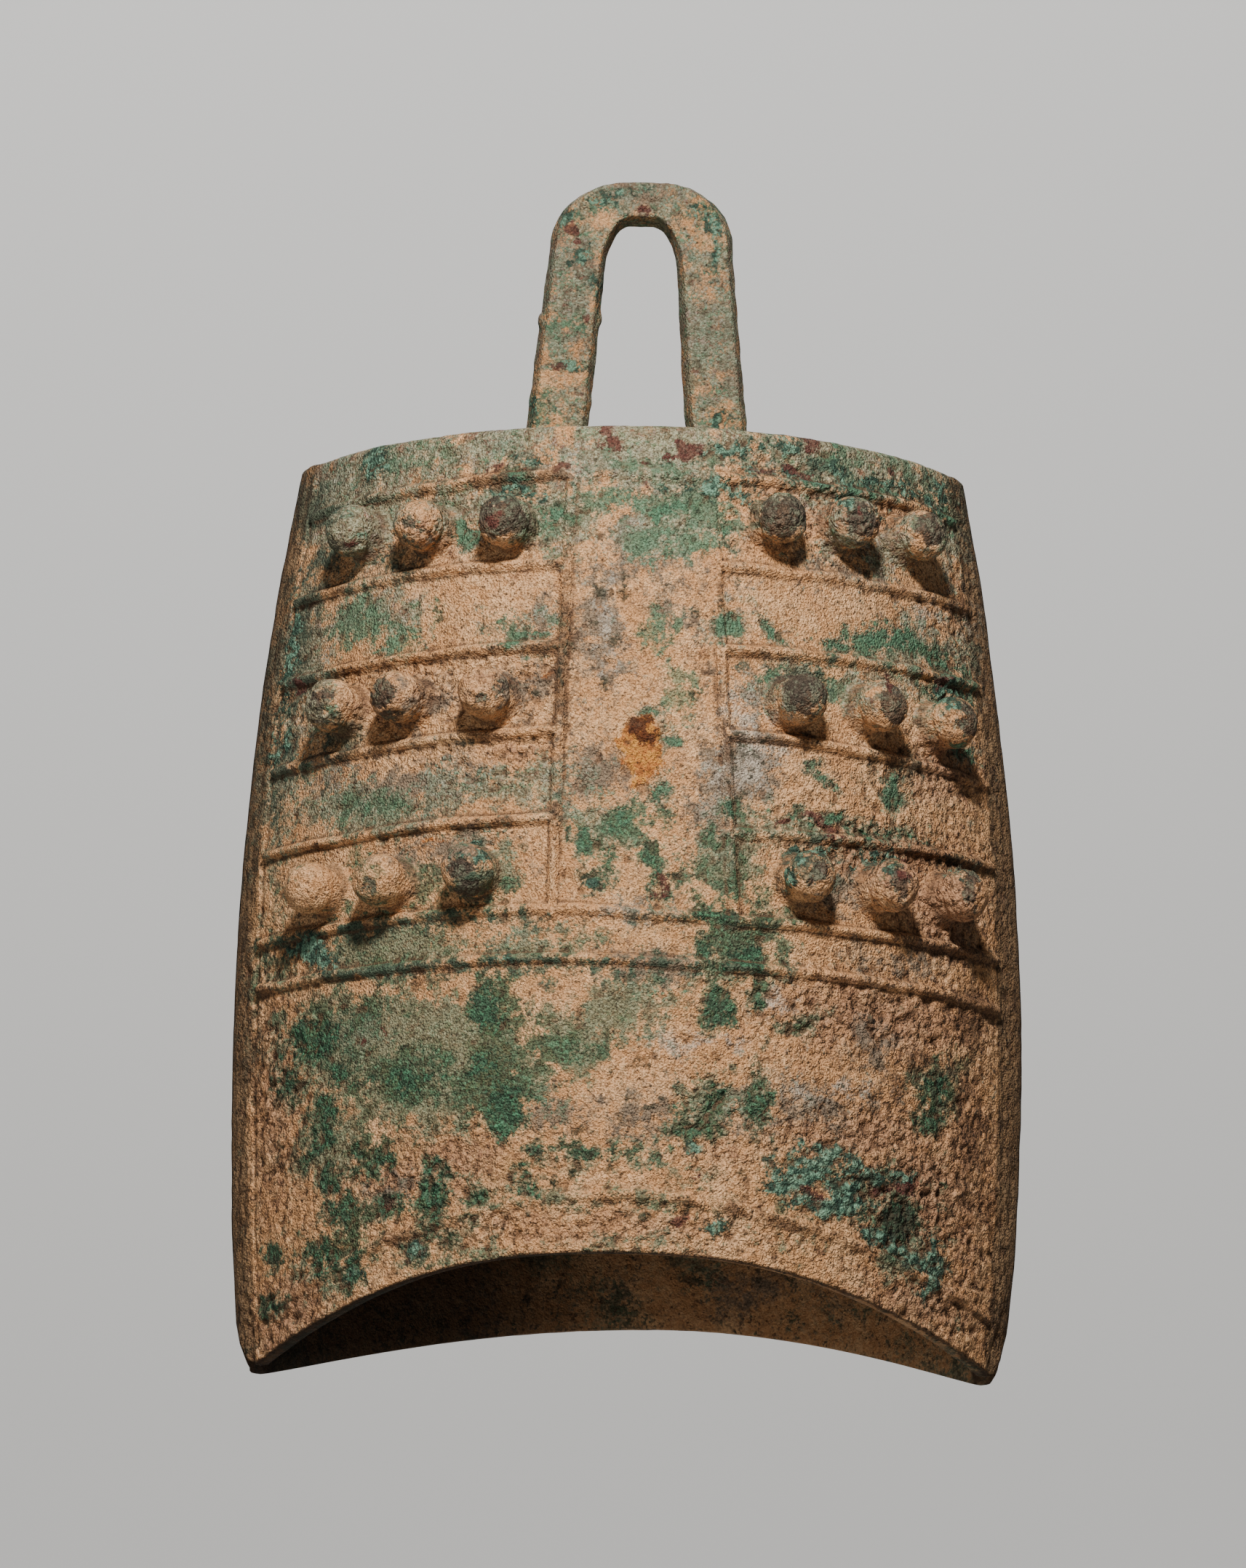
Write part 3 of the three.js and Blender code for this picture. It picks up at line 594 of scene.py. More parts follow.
def wall_columns():
    girth = girth_length(BELT_HEIGHT)
    centres = (-SIDE_RIDGE, INNER_CORDS[0], INNER_CORDS[1], SIDE_RIDGE)
    return crowded(-1, 1, WALL_COLUMNS, centres, 2.4 * MM / girth, 1.5)


def lip_drop(girth, level, face):
    """How much lower the front's lip hangs round the middle than the back's."""
    if face == "back":
        return 0.0
    low_end = 1 - step_up(level, 4 * MM, 34 * MM)
    return LIP_DROP * low_end[:, None] * hump(girth + 0.07, 0.28)[None, :]


def wall_heights(girth, level):
    """Heights of a grid whose rows follow the mouth low down and run level above the field."""
    low = mouth_edge(girth)[None, :]
    return level[:, None] + low * (1 - step_up(level[:, None], 18 * MM, 78 * MM))


def cord_lines(girth_share, height, wander):
    """Distance to the nearest raised cord on a face."""
    girth = girth_length(height)
    best = np.full(np.shape(girth_share), 1.0)

    def level(start, end, at):
        beyond = np.maximum(np.maximum(start - girth_share, girth_share - end), 0) * girth
        return np.hypot(height - at + wander, beyond)

    def upright(share):
        beyond = np.maximum(np.maximum(BELT_CORD - height, height - TOP_CORD), 0)
        return np.hypot((girth_share - share) * girth + wander, beyond)

    for at, stretches, drift in LEVEL_CORDS:
        line = at + MM * np.interp(girth_share, DRIFT_SHARES, drift)
        for start, end in stretches:
            best = np.minimum(best, level(start, end, line))
    lean = INNER_CORD_LEAN * (height - TOP_CORD) / (TOP_CORD - BELT_CORD)
    for share, shift, leaning in zip(INNER_CORDS, INNER_CORD_SHIFTS, (0.4, -1)):
        best = np.minimum(best, upright(share + shift + leaning * lean))
    lip = mouth_height(unit_face(girth_share)[0] * MOUTH_HALF) + LIP_CORD_OFFSET
    lip = lip + MM * np.interp(girth_share, *LIP_CORD_DRIFT)
    return np.minimum(best, level(-OUTER_CORD, OUTER_CORD, lip))


def worn_cords(girth_share, height):
    """How much of the cords' height is left: less over the centre panel, up its right side and at the lip."""
    centre = step_up(0.2 - np.abs(girth_share), 0, 0.08)
    left = 1 - 0.6 * centre * step_up(height, TOP_CORD - 4 * MM, TOP_CORD)
    left = left * (0.55 + 0.45 * step_up(height, 40 * MM, 60 * MM))
    right_side = hump(girth_share - INNER_CORDS[1] + 0.03, 0.022, 4)
    middle_row = hump(height - ROW_HEIGHTS[1], 1.1 * ROW_HALF, 4)
    return left * (1 - 0.92 * right_side * (1 - middle_row))


def lump_relief(x, y):
    """Single lumps and chips seen in the photograph."""
    total = 0
    for centre_x, centre_y, half_x, half_y, rise in LUMPS:
        reach = ((x - centre_x) / half_x) ** 2 + ((y - centre_y) / half_y) ** 2
        total = total + rise * MM * np.exp(-reach ** 2)
    return total


def wall_relief(girth_share, height, local, placed, share):
    """How far the cast and crusted surface stands off the plain wall."""
    fade = step_up(1 - np.abs(girth_share), 0.0, 0.05)

    # The cords, worn and a little crooked, on their fillets
    wander = 0.3 * MM * noise(placed, 12, 51, 2)
    distance = cord_lines(girth_share, height, wander)
    worn = np.clip(0.9 + 0.25 * noise(placed, 24, 52, 2), 0.4, 1.1)
    cord = CORD_HEIGHT * (worn * worn_cords(girth_share, height) * hump(distance, CORD_RADIUS, 4))
    fillet = 0.2 * MM * hump(distance, 2.6 * MM)

    # The raised strip along each side edge, crisp on each face's left, with its threads and its groove
    side = np.abs(girth_share)
    girth = girth_length(height)
    low_end = step_up(height, 6 * MM, 16 * MM)
    crisp = np.where(girth_share > 0, 0.2, 1.0)
    strip = 0.4 * MM * crisp * step_up(side, SIDE_GROOVE, SIDE_RIDGE + 0.03) * low_end * fade
    threads = noise(placed * np.array([1.0, 1.0, 0.22]), 2.2, 63, 2)
    strip = strip + 0.3 * MM * step_up(side, SIDE_GROOVE, SIDE_RIDGE) * fade * threads
    groove = -0.5 * MM * crisp * hump((side - SIDE_GROOVE) * girth, 0.6 * MM) * low_end

    # The side edge itself: on the bell's right it is fuller round the belt and thinner at the tip
    edge = (1 - side) * girth
    swell = 0.8 * hump(height - 86 * MM, 46 * MM) - 0.9 * hump(height, 18 * MM)
    swell = 0.5 + swell * (placed[..., 0] > AXIS[0])
    rounding = swell * MM * hump(edge, 7 * MM) - 0.35 * MM * hump(edge, 1.8 * MM)

    # The crust: thin over green metal, in crumbs and folds where it is rough, and the turquoise scabs
    bare = step_up(np.maximum(share["emerald"], share["sage"] - 0.3), 0.42, 0.6)
    crust = CRUST * (1 - 0.9 * bare * fade)
    rough = share["rough"] * fade * (1 - 0.7 * hump(distance, 2.2 * MM))
    undulation = 0.2 * MM * noise(placed, 38, 53, 2)
    lumps = 0.12 * MM * (0.6 + rough) * noise(placed, 5.5, 54, 2)
    flakes = np.abs(noise(placed, 3.4, 59, 2))
    crumbs = MM * rough * (0.9 * grains(placed, 2.7, 55) + 0.5 * flakes - 0.6)
    crumbs = crumbs + 0.08 * MM * noise(placed, 2.4, 60, 2) * fade
    folds = 0.35 * MM * rough * (0.4 - np.abs(noise(placed, 7, 56, 2)))
    pits = -0.4 * MM * step_up(noise(placed, 3.6, 57, 1), 0.9, 1.3) * fade
    scab = MM * step_up(share["turquoise"], 0.42, 0.66) * fade * (0.25 + 0.5 * grains(placed, 3.2, 58))
    single = lump_relief(*photo_pixels(local)) * fade
    plain = undulation + lumps + crumbs + folds + pits + scab + crust - PLAIN_INSET
    return plain + cord + fillet + strip + groove + rounding + single


# Building meshes

def make_object(name, points, quads, attributes, polygons=()):
    """A smooth mesh at the origin of the row frame from points, quads and a few larger faces."""
    mesh = bpy.data.meshes.new(name)
    loops = np.concatenate([np.asarray(quads).ravel()] + [np.asarray(p) for p in polygons])
    sizes = np.array([4] * len(quads) + [len(p) for p in polygons])
    starts = np.concatenate([[0], np.cumsum(sizes)[:-1]])
    mesh.vertices.add(len(points))
    mesh.vertices.foreach_set("co", np.asarray(points, np.float32).ravel())
    mesh.loops.add(len(loops))
    mesh.loops.foreach_set("vertex_index", loops.astype(np.int32))
    mesh.polygons.add(len(sizes))
    mesh.polygons.foreach_set("loop_start", starts.astype(np.int32))
    mesh.polygons.foreach_set("loop_total", sizes.astype(np.int32))
    mesh.polygons.foreach_set("use_smooth", sizes == 4)
    for key, values in attributes.items():
        layer = mesh.attributes.new(key, "FLOAT_VECTOR", "POINT")
        layer.data.foreach_set("vector", np.asarray(values, np.float32).ravel())
    mesh.update(calc_edges=True)
    mesh.validate()
    return add_object(name, mesh)


def make_tube(name, points, attributes, rings):
    """A closed tube from a grid of points, with a face on each end. The rows are the rings round the tube
    where rings is true, and else they run along it."""
    rows, columns = points.shape[:2]
    row = np.arange(rows - 1 if rings else rows)[:, None]
    column = np.arange(columns if rings else columns - 1)[None, :]
    here, above, beside = row * columns, (row + 1) % rows * columns, (column + 1) % columns
    quads = np.stack([here + column, here + beside, above + beside, above + column], axis=-1).reshape(-1, 4)
    if rings:
        ends = [np.arange(columns)[::-1], (rows - 1) * columns + np.arange(columns)]
    else:
        ends = [np.arange(rows) * columns, (np.arange(rows) * columns + columns - 1)[::-1]]
    return make_object(name, points.reshape(-1, 3), quads, attributes, ends)


MASKS = {
    "patches": ("emerald", "turquoise", "cuprite"),
    "veils": ("sage", "grey", "pale"),
    "marks": ("rust", "core", "brown"),
    "state": ("rough", "recess_shade", "inside"),
    "wear": ("cap", "strip", "lip"),
    "loose": ("jade", "teal", "ochre"),
    "dark": ("spot", "inner_shadow"),
}


def packed(share, recess_shade=0.0, inside=0.0, cap=-1.0, strip=0.0, lip=0.0, inner_shadow=0.0):
    """The patina shares as vector attributes that the material reads, at most three to each."""
    share = dict(share, recess_shade=recess_shade, inside=inside, cap=cap, strip=strip, lip=lip, inner_shadow=inner_shadow)
    shape = share["emerald"].shape
    layers = {}
    for name, keys in MASKS.items():
        columns = [np.broadcast_to(share[key], shape).reshape(-1) for key in keys]
        layers[name] = np.stack(columns + columns[-1:] * (3 - len(keys)), axis=-1)
    return layers


def soften(field, passes):
    """A field evened out with its neighbours, again and again."""
    for _ in range(passes):
        padded = np.pad(field, 1, mode="edge")
        field = (padded[:-2, 1:-1] + padded[2:, 1:-1] + padded[1:-1, :-2] + padded[1:-1, 2:] + 2 * field) / 6
    return field


def turned(points, face):
    """From the front face's frame to the row frame; the back face is the front turned half round."""
    if face == "back":
        points = points * np.array([-1.0, -1.0, 1.0])
    return points + AXIS


def finish_piece(piece, material, slot, *nodes):
    piece.data.materials.append(material)
    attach(piece, "root")
    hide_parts(*nodes)


def wall_outward(girth, height):
    """Outward directions of the wall, without depth at the side edges, so that the faces meet there."""
    out = wall_frame(girth, height)[2]
    seam = step_up(np.abs(girth), 0.985, 1.0)[..., None]
    return out * (1 - seam) + unit(out * np.array([1.0, 0.0, 1.0])) * seam


def outer_rows(girth, face):
    centres = [LIP_CORD_OFFSET] + [cord[0] for cord in LEVEL_CORDS]
    level = crowded(0, BODY_HEIGHT - CROWN_ROUNDING, WALL_ROWS, centres, 2.8 * MM, 1.2)
    height = wall_heights(girth, level) - lip_drop(girth, level, face)
    shares = np.broadcast_to(girth, height.shape)
    local = wall_place(shares, height)
    placed = turned(local, face)
    share = patina(local, placed, face)
    relief = wall_relief(shares, height, local, placed, share)
    # Painted shade in the recesses: how far each point lies below its smoothed neighbours
    recess_shade = (soften(relief, HOLLOW_PASSES) - relief) / HOLLOW_DEPTH
    place = local + wall_outward(shares, height) * relief[..., None]
    # Painted shade on the lower side of each cord: brown where the crust is tan, teal-grey where the patina
    # is green
    on_cord = hump(cord_lines(shares, height + 0.9 * MM, 0.0), 1.5 * MM)
    shaded = 0.6 * on_cord * worn_cords(shares, height) * (1 + 0.7 * noise(local, 9, 75))
    green = step_up(np.maximum(share["jade"], share["sage"] - 0.1), 0.4, 0.7)
    share["brown"] = share["brown"] + shaded * (1 - 0.8 * green)
    share["teal"] = share["teal"] + shaded * green
    share["sage"] = np.maximum(share["sage"], share["emerald"] + 0.22)
    return place, share, recess_shade, level


def top_dip(points):
    """How far the crown's top lies below its plain level."""
    return 0.12 * MM * (1 + noise(points, 5, 61)) + 0.1 * MM * (1 + noise(points, 20, 62))


def shoulder_rows(girth, face, last):
    """From the top of the wall round the shoulder and over to the crown plate."""
    inward = unit(-wall_outward(girth, BODY_HEIGHT) * np.array([1.0, 1.0, 0.0]))
    rows = []
    for angle in np.radians([18, 36, 54, 72, 90]):
        row = last + inward * CROWN_ROUNDING * (1 - math.cos(angle))
        row[:, 2] = BODY_HEIGHT - CROWN_ROUNDING * (1 - math.sin(angle))
        row[:, 2] -= top_dip(turned(row, face)) * math.sin(angle)
        rows.append(row)
    edge = wall_place(girth, BODY_HEIGHT, WALL_THICKNESS, WALL_THICKNESS)
    edge[:, 2] -= top_dip(turned(edge, face))
    return np.array(rows + [edge + 0.04 * (rows[-1] - edge), edge])


def inner_rows(girth, face):
    ceiling = BODY_HEIGHT - CROWN_THICKNESS
    level = np.linspace(ceiling, 0, INNER_ROWS)
    height = np.minimum(wall_heights(girth, level), ceiling) - lip_drop(girth, level, face)
    shares = np.broadcast_to(girth, height.shape)
    thinned = LIP_THINNING * (1 - step_up(level, 0, 14 * MM))[:, None]
    local = wall_place(shares, height, WALL_THICKNESS - thinned, EDGE_THICKNESS - thinned)
    placed = turned(local, face)
    relief = 0.4 * MM * noise(placed, 12, 71) + 0.35 * MM * (1 - 2 * np.abs(noise(placed, 9, 72)))
    relief = relief * step_up(1 - np.abs(shares), 0.0, 0.04) * (1 - 0.7 * thinned / LIP_THINNING)
    return local + wall_outward(shares, height) * relief[..., None]


def lip_rows(inner_edge, outer_edge):
    """The rounded lip, from the wall's inside to its outside."""
    rows = []
    for share in (0.12, 0.5, 0.88):
        row = inner_edge * (1 - share) + outer_edge * share
        row[:, 2] -= 0.25 * MM * math.sin(math.pi * share)
        rows.append(row)
    return np.array(rows)


# Patina that the photograph barely shows: its mean, how far it varies, and the noise's size and seed
PLAIN_SHARES = {
    "emerald": (0.22, 0.26, 14, 81),
    "turquoise": (0.1, 0.25, 9, 82),
    "cuprite": (0.0, 0.3, 6, 84),
    "sage": (0.45, 0.3, 20, 83),
    "grey": (0.4, 0.3, 12, 85),
    "pale": (0.1, 0.2, 14, 81),
    "brown": (0.2, 0.3, 10, 86),
    "jade": (0.3, 0.3, 16, 87),
    "teal": (0.2, 0.3, 12, 88),
    "ochre": (0.3, 0.3, 13, 89),
}


def plain_share(points):
    share = {key: mean + vary * noise(points, size, seed)
             for key, (mean, vary, size, seed) in PLAIN_SHARES.items()}
    for key, value in (("rust", -0.5), ("core", -0.5), ("rough", 0.4)):
        share[key] = np.full(points.shape[:-1], value)
    spots = patch_share(*photo_pixels(points - AXIS), *KINDS["spot"][:2])
    share["spot"] = spots + 0.14 * noise(points, 3, 90)
    return share


def wall_piece(face, material):
    girth = wall_columns()
    outer, share, recess_shade, level = outer_rows(girth, face)
    shoulder = shoulder_rows(girth, face, outer[-1])
    inner = inner_rows(girth, face)
    lip = lip_rows(inner[-1], outer[0])
    placed = turned(np.concatenate([outer, shoulder, inner, lip]), face)
    count, above = len(outer), len(outer) + len(shoulder)

    whole = plain_share(placed)
    for key in whole:
        whole[key][:count] = share[key]
        whole[key][count:above] = share[key][-1]
    depth, inside, rim = np.zeros((3,) + placed.shape[:2])
    # The outer wall's painted shade in its recesses
    depth[:count] = recess_shade
    inside[above:] = 1
    rim[:count] = 1 - step_up(level, 0.1 * MM, 1.0 * MM)[:, None]
    rim[-len(lip):] = np.array([0.1, 0.35, 1.1])[:, None]
    rim = rim + 0.3 * noise(placed, 6, 74)
    strip = step_up(np.abs(girth) + 0.02 * (girth > 0), 0.90, 0.95)
    # Painted shadow over the left part of the inside
    inner_shadow = inside * (1 - step_up(placed[..., 0] - AXIS[0], -45 * MM, 25 * MM))
    layers = packed(whole, depth, inside, strip=strip, lip=rim, inner_shadow=inner_shadow)
    piece = make_tube(f"bell_{face}", placed, layers, rings=False)
    cords = [f"top_cord_{face}", f"border_cords_{face}"]
    cords += [f"panel_cords_{face}_{side}" for side in BOSS_PLACES]
    finish_piece(piece, material, "wall_bronze", "bell_wall", *cords)


def crown_piece(material):
    tip = 0.999        # just short of the end, where the rows would fall together
    girth = np.linspace(-tip, tip, CROWN_COLUMNS)
    inset = WALL_THICKNESS - 0.05 * MM
    ring = wall_place(girth, BODY_HEIGHT, inset, inset)
    beside = 0.9985    # a row close to the edge keeps the smooth shading off the flat top
    across = np.concatenate([[1], np.linspace(beside, -beside, CROWN_ROWS), [-1]])[:, None]
    top = np.stack([ring[:, 0] + 0 * across, ring[:, 1] * across, ring[:, 2] + 0 * across], axis=-1)
    under = top[::-1].copy()
    under[..., 2] = BODY_HEIGHT - CROWN_THICKNESS
    top[..., 2] -= top_dip(top + AXIS)
    rows = np.concatenate([top, under]) + AXIS
    share = plain_share(rows)
    share["sage"] = share["sage"] + 0.3
    inside = np.zeros(rows.shape[:2])
    inside[len(top):] = 1
    piece = make_tube("crown_top", rows, packed(share, inside=inside), rings=False)
    finish_piece(piece, material, "crown_bronze", "crown_plate")


# Bosses

BOSS_RADIUS = 6.1 * MM
BOSS_HEIGHT = 12.6 * MM
BOSS_NECK = 5.3 * MM
BOSS_FOOT = 6.9 * MM

# How wide each neck is beside the plain one, by row and place
NECK_SHARES = {
    "left": [(1.04, 1.0, 1.12), (1.05, 1.05, 1.1), (1.08, 1.06, 1.14)],
    "right": [(1.02, 1.0, 1.04), (1.06, 1.0, 1.02), (0.98, 1.0, 1.05)],
}


def boss_profile():
    """Radius and height from the foot, just under the wall's surface, to the top of the dome."""
    foot = [(BOSS_FOOT + 2.2 * MM, -1.3 * MM), (BOSS_FOOT + 1.0 * MM, -0.7 * MM), (BOSS_FOOT, 0.0),
            (BOSS_FOOT - 0.7 * MM, 0.9 * MM), (BOSS_NECK + 0.2 * MM, 2.2 * MM), (BOSS_NECK, 3.8 * MM),
            (BOSS_NECK + 0.3 * MM, 4.4 * MM)]
    angles = np.radians(np.arange(-15, 90, 7))
    dome = BOSS_RADIUS * np.stack([np.cos(angles), np.sin(angles)], axis=-1)
    return np.concatenate([foot, dome + (0, BOSS_HEIGHT - BOSS_RADIUS)])


def resampled(profile, count):
    """The same line with evenly spaced points."""
    length = np.concatenate([[0], np.cumsum(np.linalg.norm(np.diff(profile, axis=0), axis=1))])
    at = np.linspace(0, length[-1], count)
    return np.stack([np.interp(at, length, profile[:, k]) for k in (0, 1)], axis=-1)


def boss_piece(face, side, row, column, material):
    girth_share, play = BOSS_PLACES[side][row][column]
    height = ROW_HEIGHTS[row] + play * ROW_PLAY
    seed = 900 + 100 * (face == "back") + 40 * (side == "right") + 10 * row + column
    profile = resampled(boss_profile(), BOSS_RINGS)
    turn = np.linspace(0, 2 * math.pi, BOSS_SIDES, endpoint=False)[None, :]
    radius, rise = profile[:, :1], profile[:, 1:]
    across, lift = radius * np.cos(turn), radius * np.sin(turn)
    along, up, out = wall_frame(girth_share, height)
    girth, climb = np.linalg.norm(along), np.linalg.norm(up)
    straight = (wall_place(girth_share, height) + across[..., None] * along / girth
                + lift[..., None] * up / climb + rise[..., None] * out)
    shares, heights = girth_share + across / girth, height + lift / climb
    wrapped = wall_place(shares, heights) + rise[..., None] * wall_frame(shares, heights)[2]
    bend = step_up(rise, 0.5 * MM, 4 * MM)[..., None]
    local = wrapped * (1 - bend) + straight * bend
    placed = turned(local, face)
    share = patina(local, placed, face)
    away = unit(straight - (wall_place(girth_share, height) + 5 * MM * out))
    top = step_up(rise, BOSS_HEIGHT - 3 * MM, BOSS_HEIGHT)
    low = 1 - step_up(rise, 3 * MM, 7 * MM)
    neck = hump(rise - 3.4 * MM, 2.6 * MM)
    lumps = (0.3 + 0.3 * low) * MM * noise(placed, 6, seed)
    lumps = lumps + 0.1 * MM * noise(placed, 2.6, seed + 7, 2)
    crust = 1 - step_up(share["cap"], 0.35, 0.65)
    lumps = lumps + 0.3 * MM * (crust - 0.6) + 0.1 * MM * (crust * grains(placed, 2.2, seed + 5) - 0.4)
    widened = BOSS_NECK * (NECK_SHARES[side][row][column] - 1) * neck
    local = local + away * (lumps + widened - 0.05 * MM - 0.3 * MM * top)[..., None]
    # Painted shade round the neck and the foot, under the dome
    recess_shade = 1.2 * step_up(rise, -0.8 * MM, 1.6 * MM) - 1.6 * step_up(rise, 0, 7.5 * MM)
    name = f"boss_{face}_{side}_row{row + 1}_{column + 1}"
    layers = packed(share, recess_shade, cap=share["cap"])
    piece = make_tube(name + "_cast", turned(local, face), layers, rings=True)
    finish_piece(piece, material, "boss_bronze", name)


# Hanging loop: two outlines joined by a rounded section with the mould seam at mid depth

LOOP_DEPTH_HALF = 6.5 * MM
LOOP_LEG_HALF = 6.5 * MM
LOOP_LAND_HALF = 1.5 * MM
LOOP_DRAFT = 1.3 * MM
LOOP_OFFSET = 0.7 * MM
LOOP_LEAN = 0.9 * MM
HOLE_HEIGHT = 61.2 * MM
ARCH_THICKNESS = 10.9 * MM
OUTER_EDGE = {"foot": 28 * MM, "shoulder": 22.3 * MM, "rise": 56 * MM, "flat": 5 * MM,
              "top": HOLE_HEIGHT + ARCH_THICKNESS}
INNER_EDGE = {"foot": 12.6 * MM, "shoulder": 8.9 * MM, "rise": 47 * MM, "flat": 2.5 * MM, "top": HOLE_HEIGHT}


def loop_edge(edge, count):
    """One edge of the loop from the right foot over the top to the left foot, evenly spaced."""
    half = [(edge["foot"], -1.5 * MM), (edge["foot"], 0)]
    for angle in np.linspace(0, math.pi / 2, 24):
        x = edge["flat"] + (edge["shoulder"] - edge["flat"]) * math.cos(angle)
        half.append((x, edge["rise"] + (edge["top"] - edge["rise"]) * math.sin(angle)))
    half = np.array(half)
    return resampled(np.concatenate([half, half[::-1] * np.array([-1.0, 1.0])]), count)


def loop_section(count):
    """Round the section: shares from the inner edge to the outer and of the depth, each from -1 to 1."""
    narrow, land = 1 - LOOP_DRAFT / LOOP_LEG_HALF, LOOP_LAND_HALF / LOOP_DEPTH_HALF
    corners = [(1, land), (narrow, 1), (-narrow, 1), (-1, land),
               (-1, -land), (-narrow, -1), (narrow, -1), (1, -land), (1, land)]
    ring = resampled(np.array(corners), 4 * count + 1)[:-1]
    for _ in range(60):
        ring = (np.roll(ring, 1, axis=0) + 2 * ring + np.roll(ring, -1, axis=0)) / 4
    return ring[::4].T


def loop_piece(material):
    inner, outer = loop_edge(INNER_EDGE, LOOP_RINGS), loop_edge(OUTER_EDGE, LOOP_RINGS)
    across, depth = loop_section(LOOP_SIDES)
    middle, reach = (inner + outer) / 2, (outer - inner) / 2
    thickness = np.linalg.norm(reach, axis=1)[:, None]
    along = reach / thickness
    flare = 0.6 * MM * np.exp(-np.maximum(middle[:, 1:], 0) / (1.3 * MM))
    from_middle = across * (thickness + flare)
    x = middle[:, :1] + along[:, :1] * from_middle
    z = middle[:, 1:] + along[:, 1:] * from_middle
    x = x + LOOP_OFFSET + LOOP_LEAN * np.clip(z / OUTER_EDGE["top"], 0, 1)
    y = depth * (LOOP_DEPTH_HALF + flare)
    local = np.stack([x, y, z + BODY_HEIGHT], axis=-1)
    placed = local + AXIS
    away = unit(np.stack([along[:, :1] * across, depth + 0 * x, along[:, 1:] * across], axis=-1))
    relief = (0.2 * MM * noise(placed, 14, 91) + 0.12 * MM * noise(placed, 4, 92)
              + 0.06 * MM * noise(placed, 2, 93, 1) - 0.35 * MM)
    seam = 0.35 * MM * hump(depth, 0.08) * (0.7 + 0.3 * noise(placed, 9, 94, 2))
    front = step_up(-depth, -0.5, 0.0)
    relief = relief + seam + lump_relief(*photo_pixels(local)) * front
    share = patina(local, placed, "front")
    share["sage"] = 0.56 + 0.24 * noise(placed, 5, 95)
    share["grey"] = 0.72 + 0.3 * noise(placed, 8, 96)
    local = local + away * relief[..., None]
    piece = make_tube("loop_cast", local + AXIS, packed(share), rings=True)
    finish_piece(piece, material, "loop_bronze", "suspension_loop")


# Materials

class Nodes:
    """Short calls for building a node tree."""

    def __init__(self, name):
        self.material = bpy.data.materials.new(name)
        self.material.use_nodes = True
        self.tree = self.material.node_tree
        self.tree.nodes.clear()
        self.coordinates = self.add("TexCoord").outputs["Object"]

    def add(self, kind):
        return self.tree.nodes.new("ShaderNode" + kind)

    def put(self, socket, value):
        if isinstance(value, bpy.types.NodeSocket):
            self.tree.links.new(value, socket)
        else:
            socket.default_value = value

    def math(self, operation, first, second=0.0, third=0.0):
        node = self.add("Math")
        node.operation = operation
        for socket, value in zip(node.inputs, (first, second, third)):
            self.put(socket, value)
        return node.outputs[0]

    def plus(self, first, second):
        return self.math("ADD", first, second)

    def times(self, first, second):
        return self.math("MULTIPLY", first, second)

    def ramp(self, value, low, high):
        node = self.add("MapRange")
        node.interpolation_type = "SMOOTHSTEP"
        for key, given in (("Value", value), ("From Min", low), ("From Max", high)):
            self.put(node.inputs[key], given)
        return node.outputs[0]

    def mix(self, share, first, second, blend="MIX"):
        node = self.add("Mix")
        node.data_type = "RGBA"
        node.blend_type = blend
        self.put(node.inputs[0], share)
        self.put(node.inputs[6], first)
        self.put(node.inputs[7], second)
        return node.outputs[2]

    def place(self, seed, squeeze):
        """The object's own coordinates, shifted by the seed and squeezed along each axis."""
        node = self.add("VectorMath")
        node.operation = "MULTIPLY_ADD"
        self.put(node.inputs[0], self.coordinates)
        node.inputs[1].default_value = squeeze
        node.inputs[2].default_value = (0.37 * seed, 0.21 * seed, 0.53 * seed)
        return node.outputs[0]

    def grains(self, size, seed):
        """Packed grains: the distance to the nearest centre, and random numbers that each grain keeps."""
        node = self.add("TexVoronoi")
        self.put(node.inputs["Vector"], self.place(seed, (1, 1, 1)))
        self.put(node.inputs["Scale"], 1 / (size * MM))
        split = self.add("SeparateColor")
        self.put(split.inputs[0], node.outputs["Color"])
        return node.outputs["Distance"], split.outputs[0], split.outputs[1]

    def noise(self, size, seed, detail=2.0, squeeze=(1, 1, 1)):
        """Noise between 0 and 1 whose broadest bumps are about size millimetres wide."""
        node = self.add("TexNoise")
        self.put(node.inputs["Vector"], self.place(seed, squeeze))
        self.put(node.inputs["Scale"], 1 / (size * MM))
        self.put(node.inputs["Detail"], detail)
        self.put(node.inputs["Roughness"], 0.6)
        return node.outputs["Fac"]

    def spread(self, value, gain):
        """Noise turned into a signed value with the given gain."""
        return self.times(self.math("SUBTRACT", value, 0.5), gain)

    def cover(self, mask, grit, low, high, most=1.0):
        """Share covered where a mask plus its grit passes from low to high."""
        edge = self.ramp(self.plus(mask, grit), low, high)
        return self.times(edge, most)

    def coats(self, tone, *coats):
        """Coats over a tone, each with its colour last, after the share it covers or the terms of cover."""
        for *where, coat in coats:
            tone = self.mix(where[0] if len(where) == 1 else self.cover(*where), tone, coat)
        return tone

    def climb(self, low, high):
        """0 below the first height in the row frame, 1 above the second."""
        split = self.add("SeparateXYZ")
        self.put(split.inputs[0], self.coordinates)
        return self.ramp(split.outputs[2], low, high)

    def attribute(self, name):
        node = self.add("Attribute")
        node.attribute_name = name
        split = self.add("SeparateXYZ")
        self.put(split.inputs[0], node.outputs["Vector"])
        return split.outputs


def colour(red, green, blue):
    """A linear colour from display values between 0 and 255."""
    def linear(value):
        value = value / 255
        return value / 12.92 if value <= 0.04045 else ((value + 0.055) / 1.055) ** 2.4
    return (linear(red), linear(green), linear(blue), 1.0)


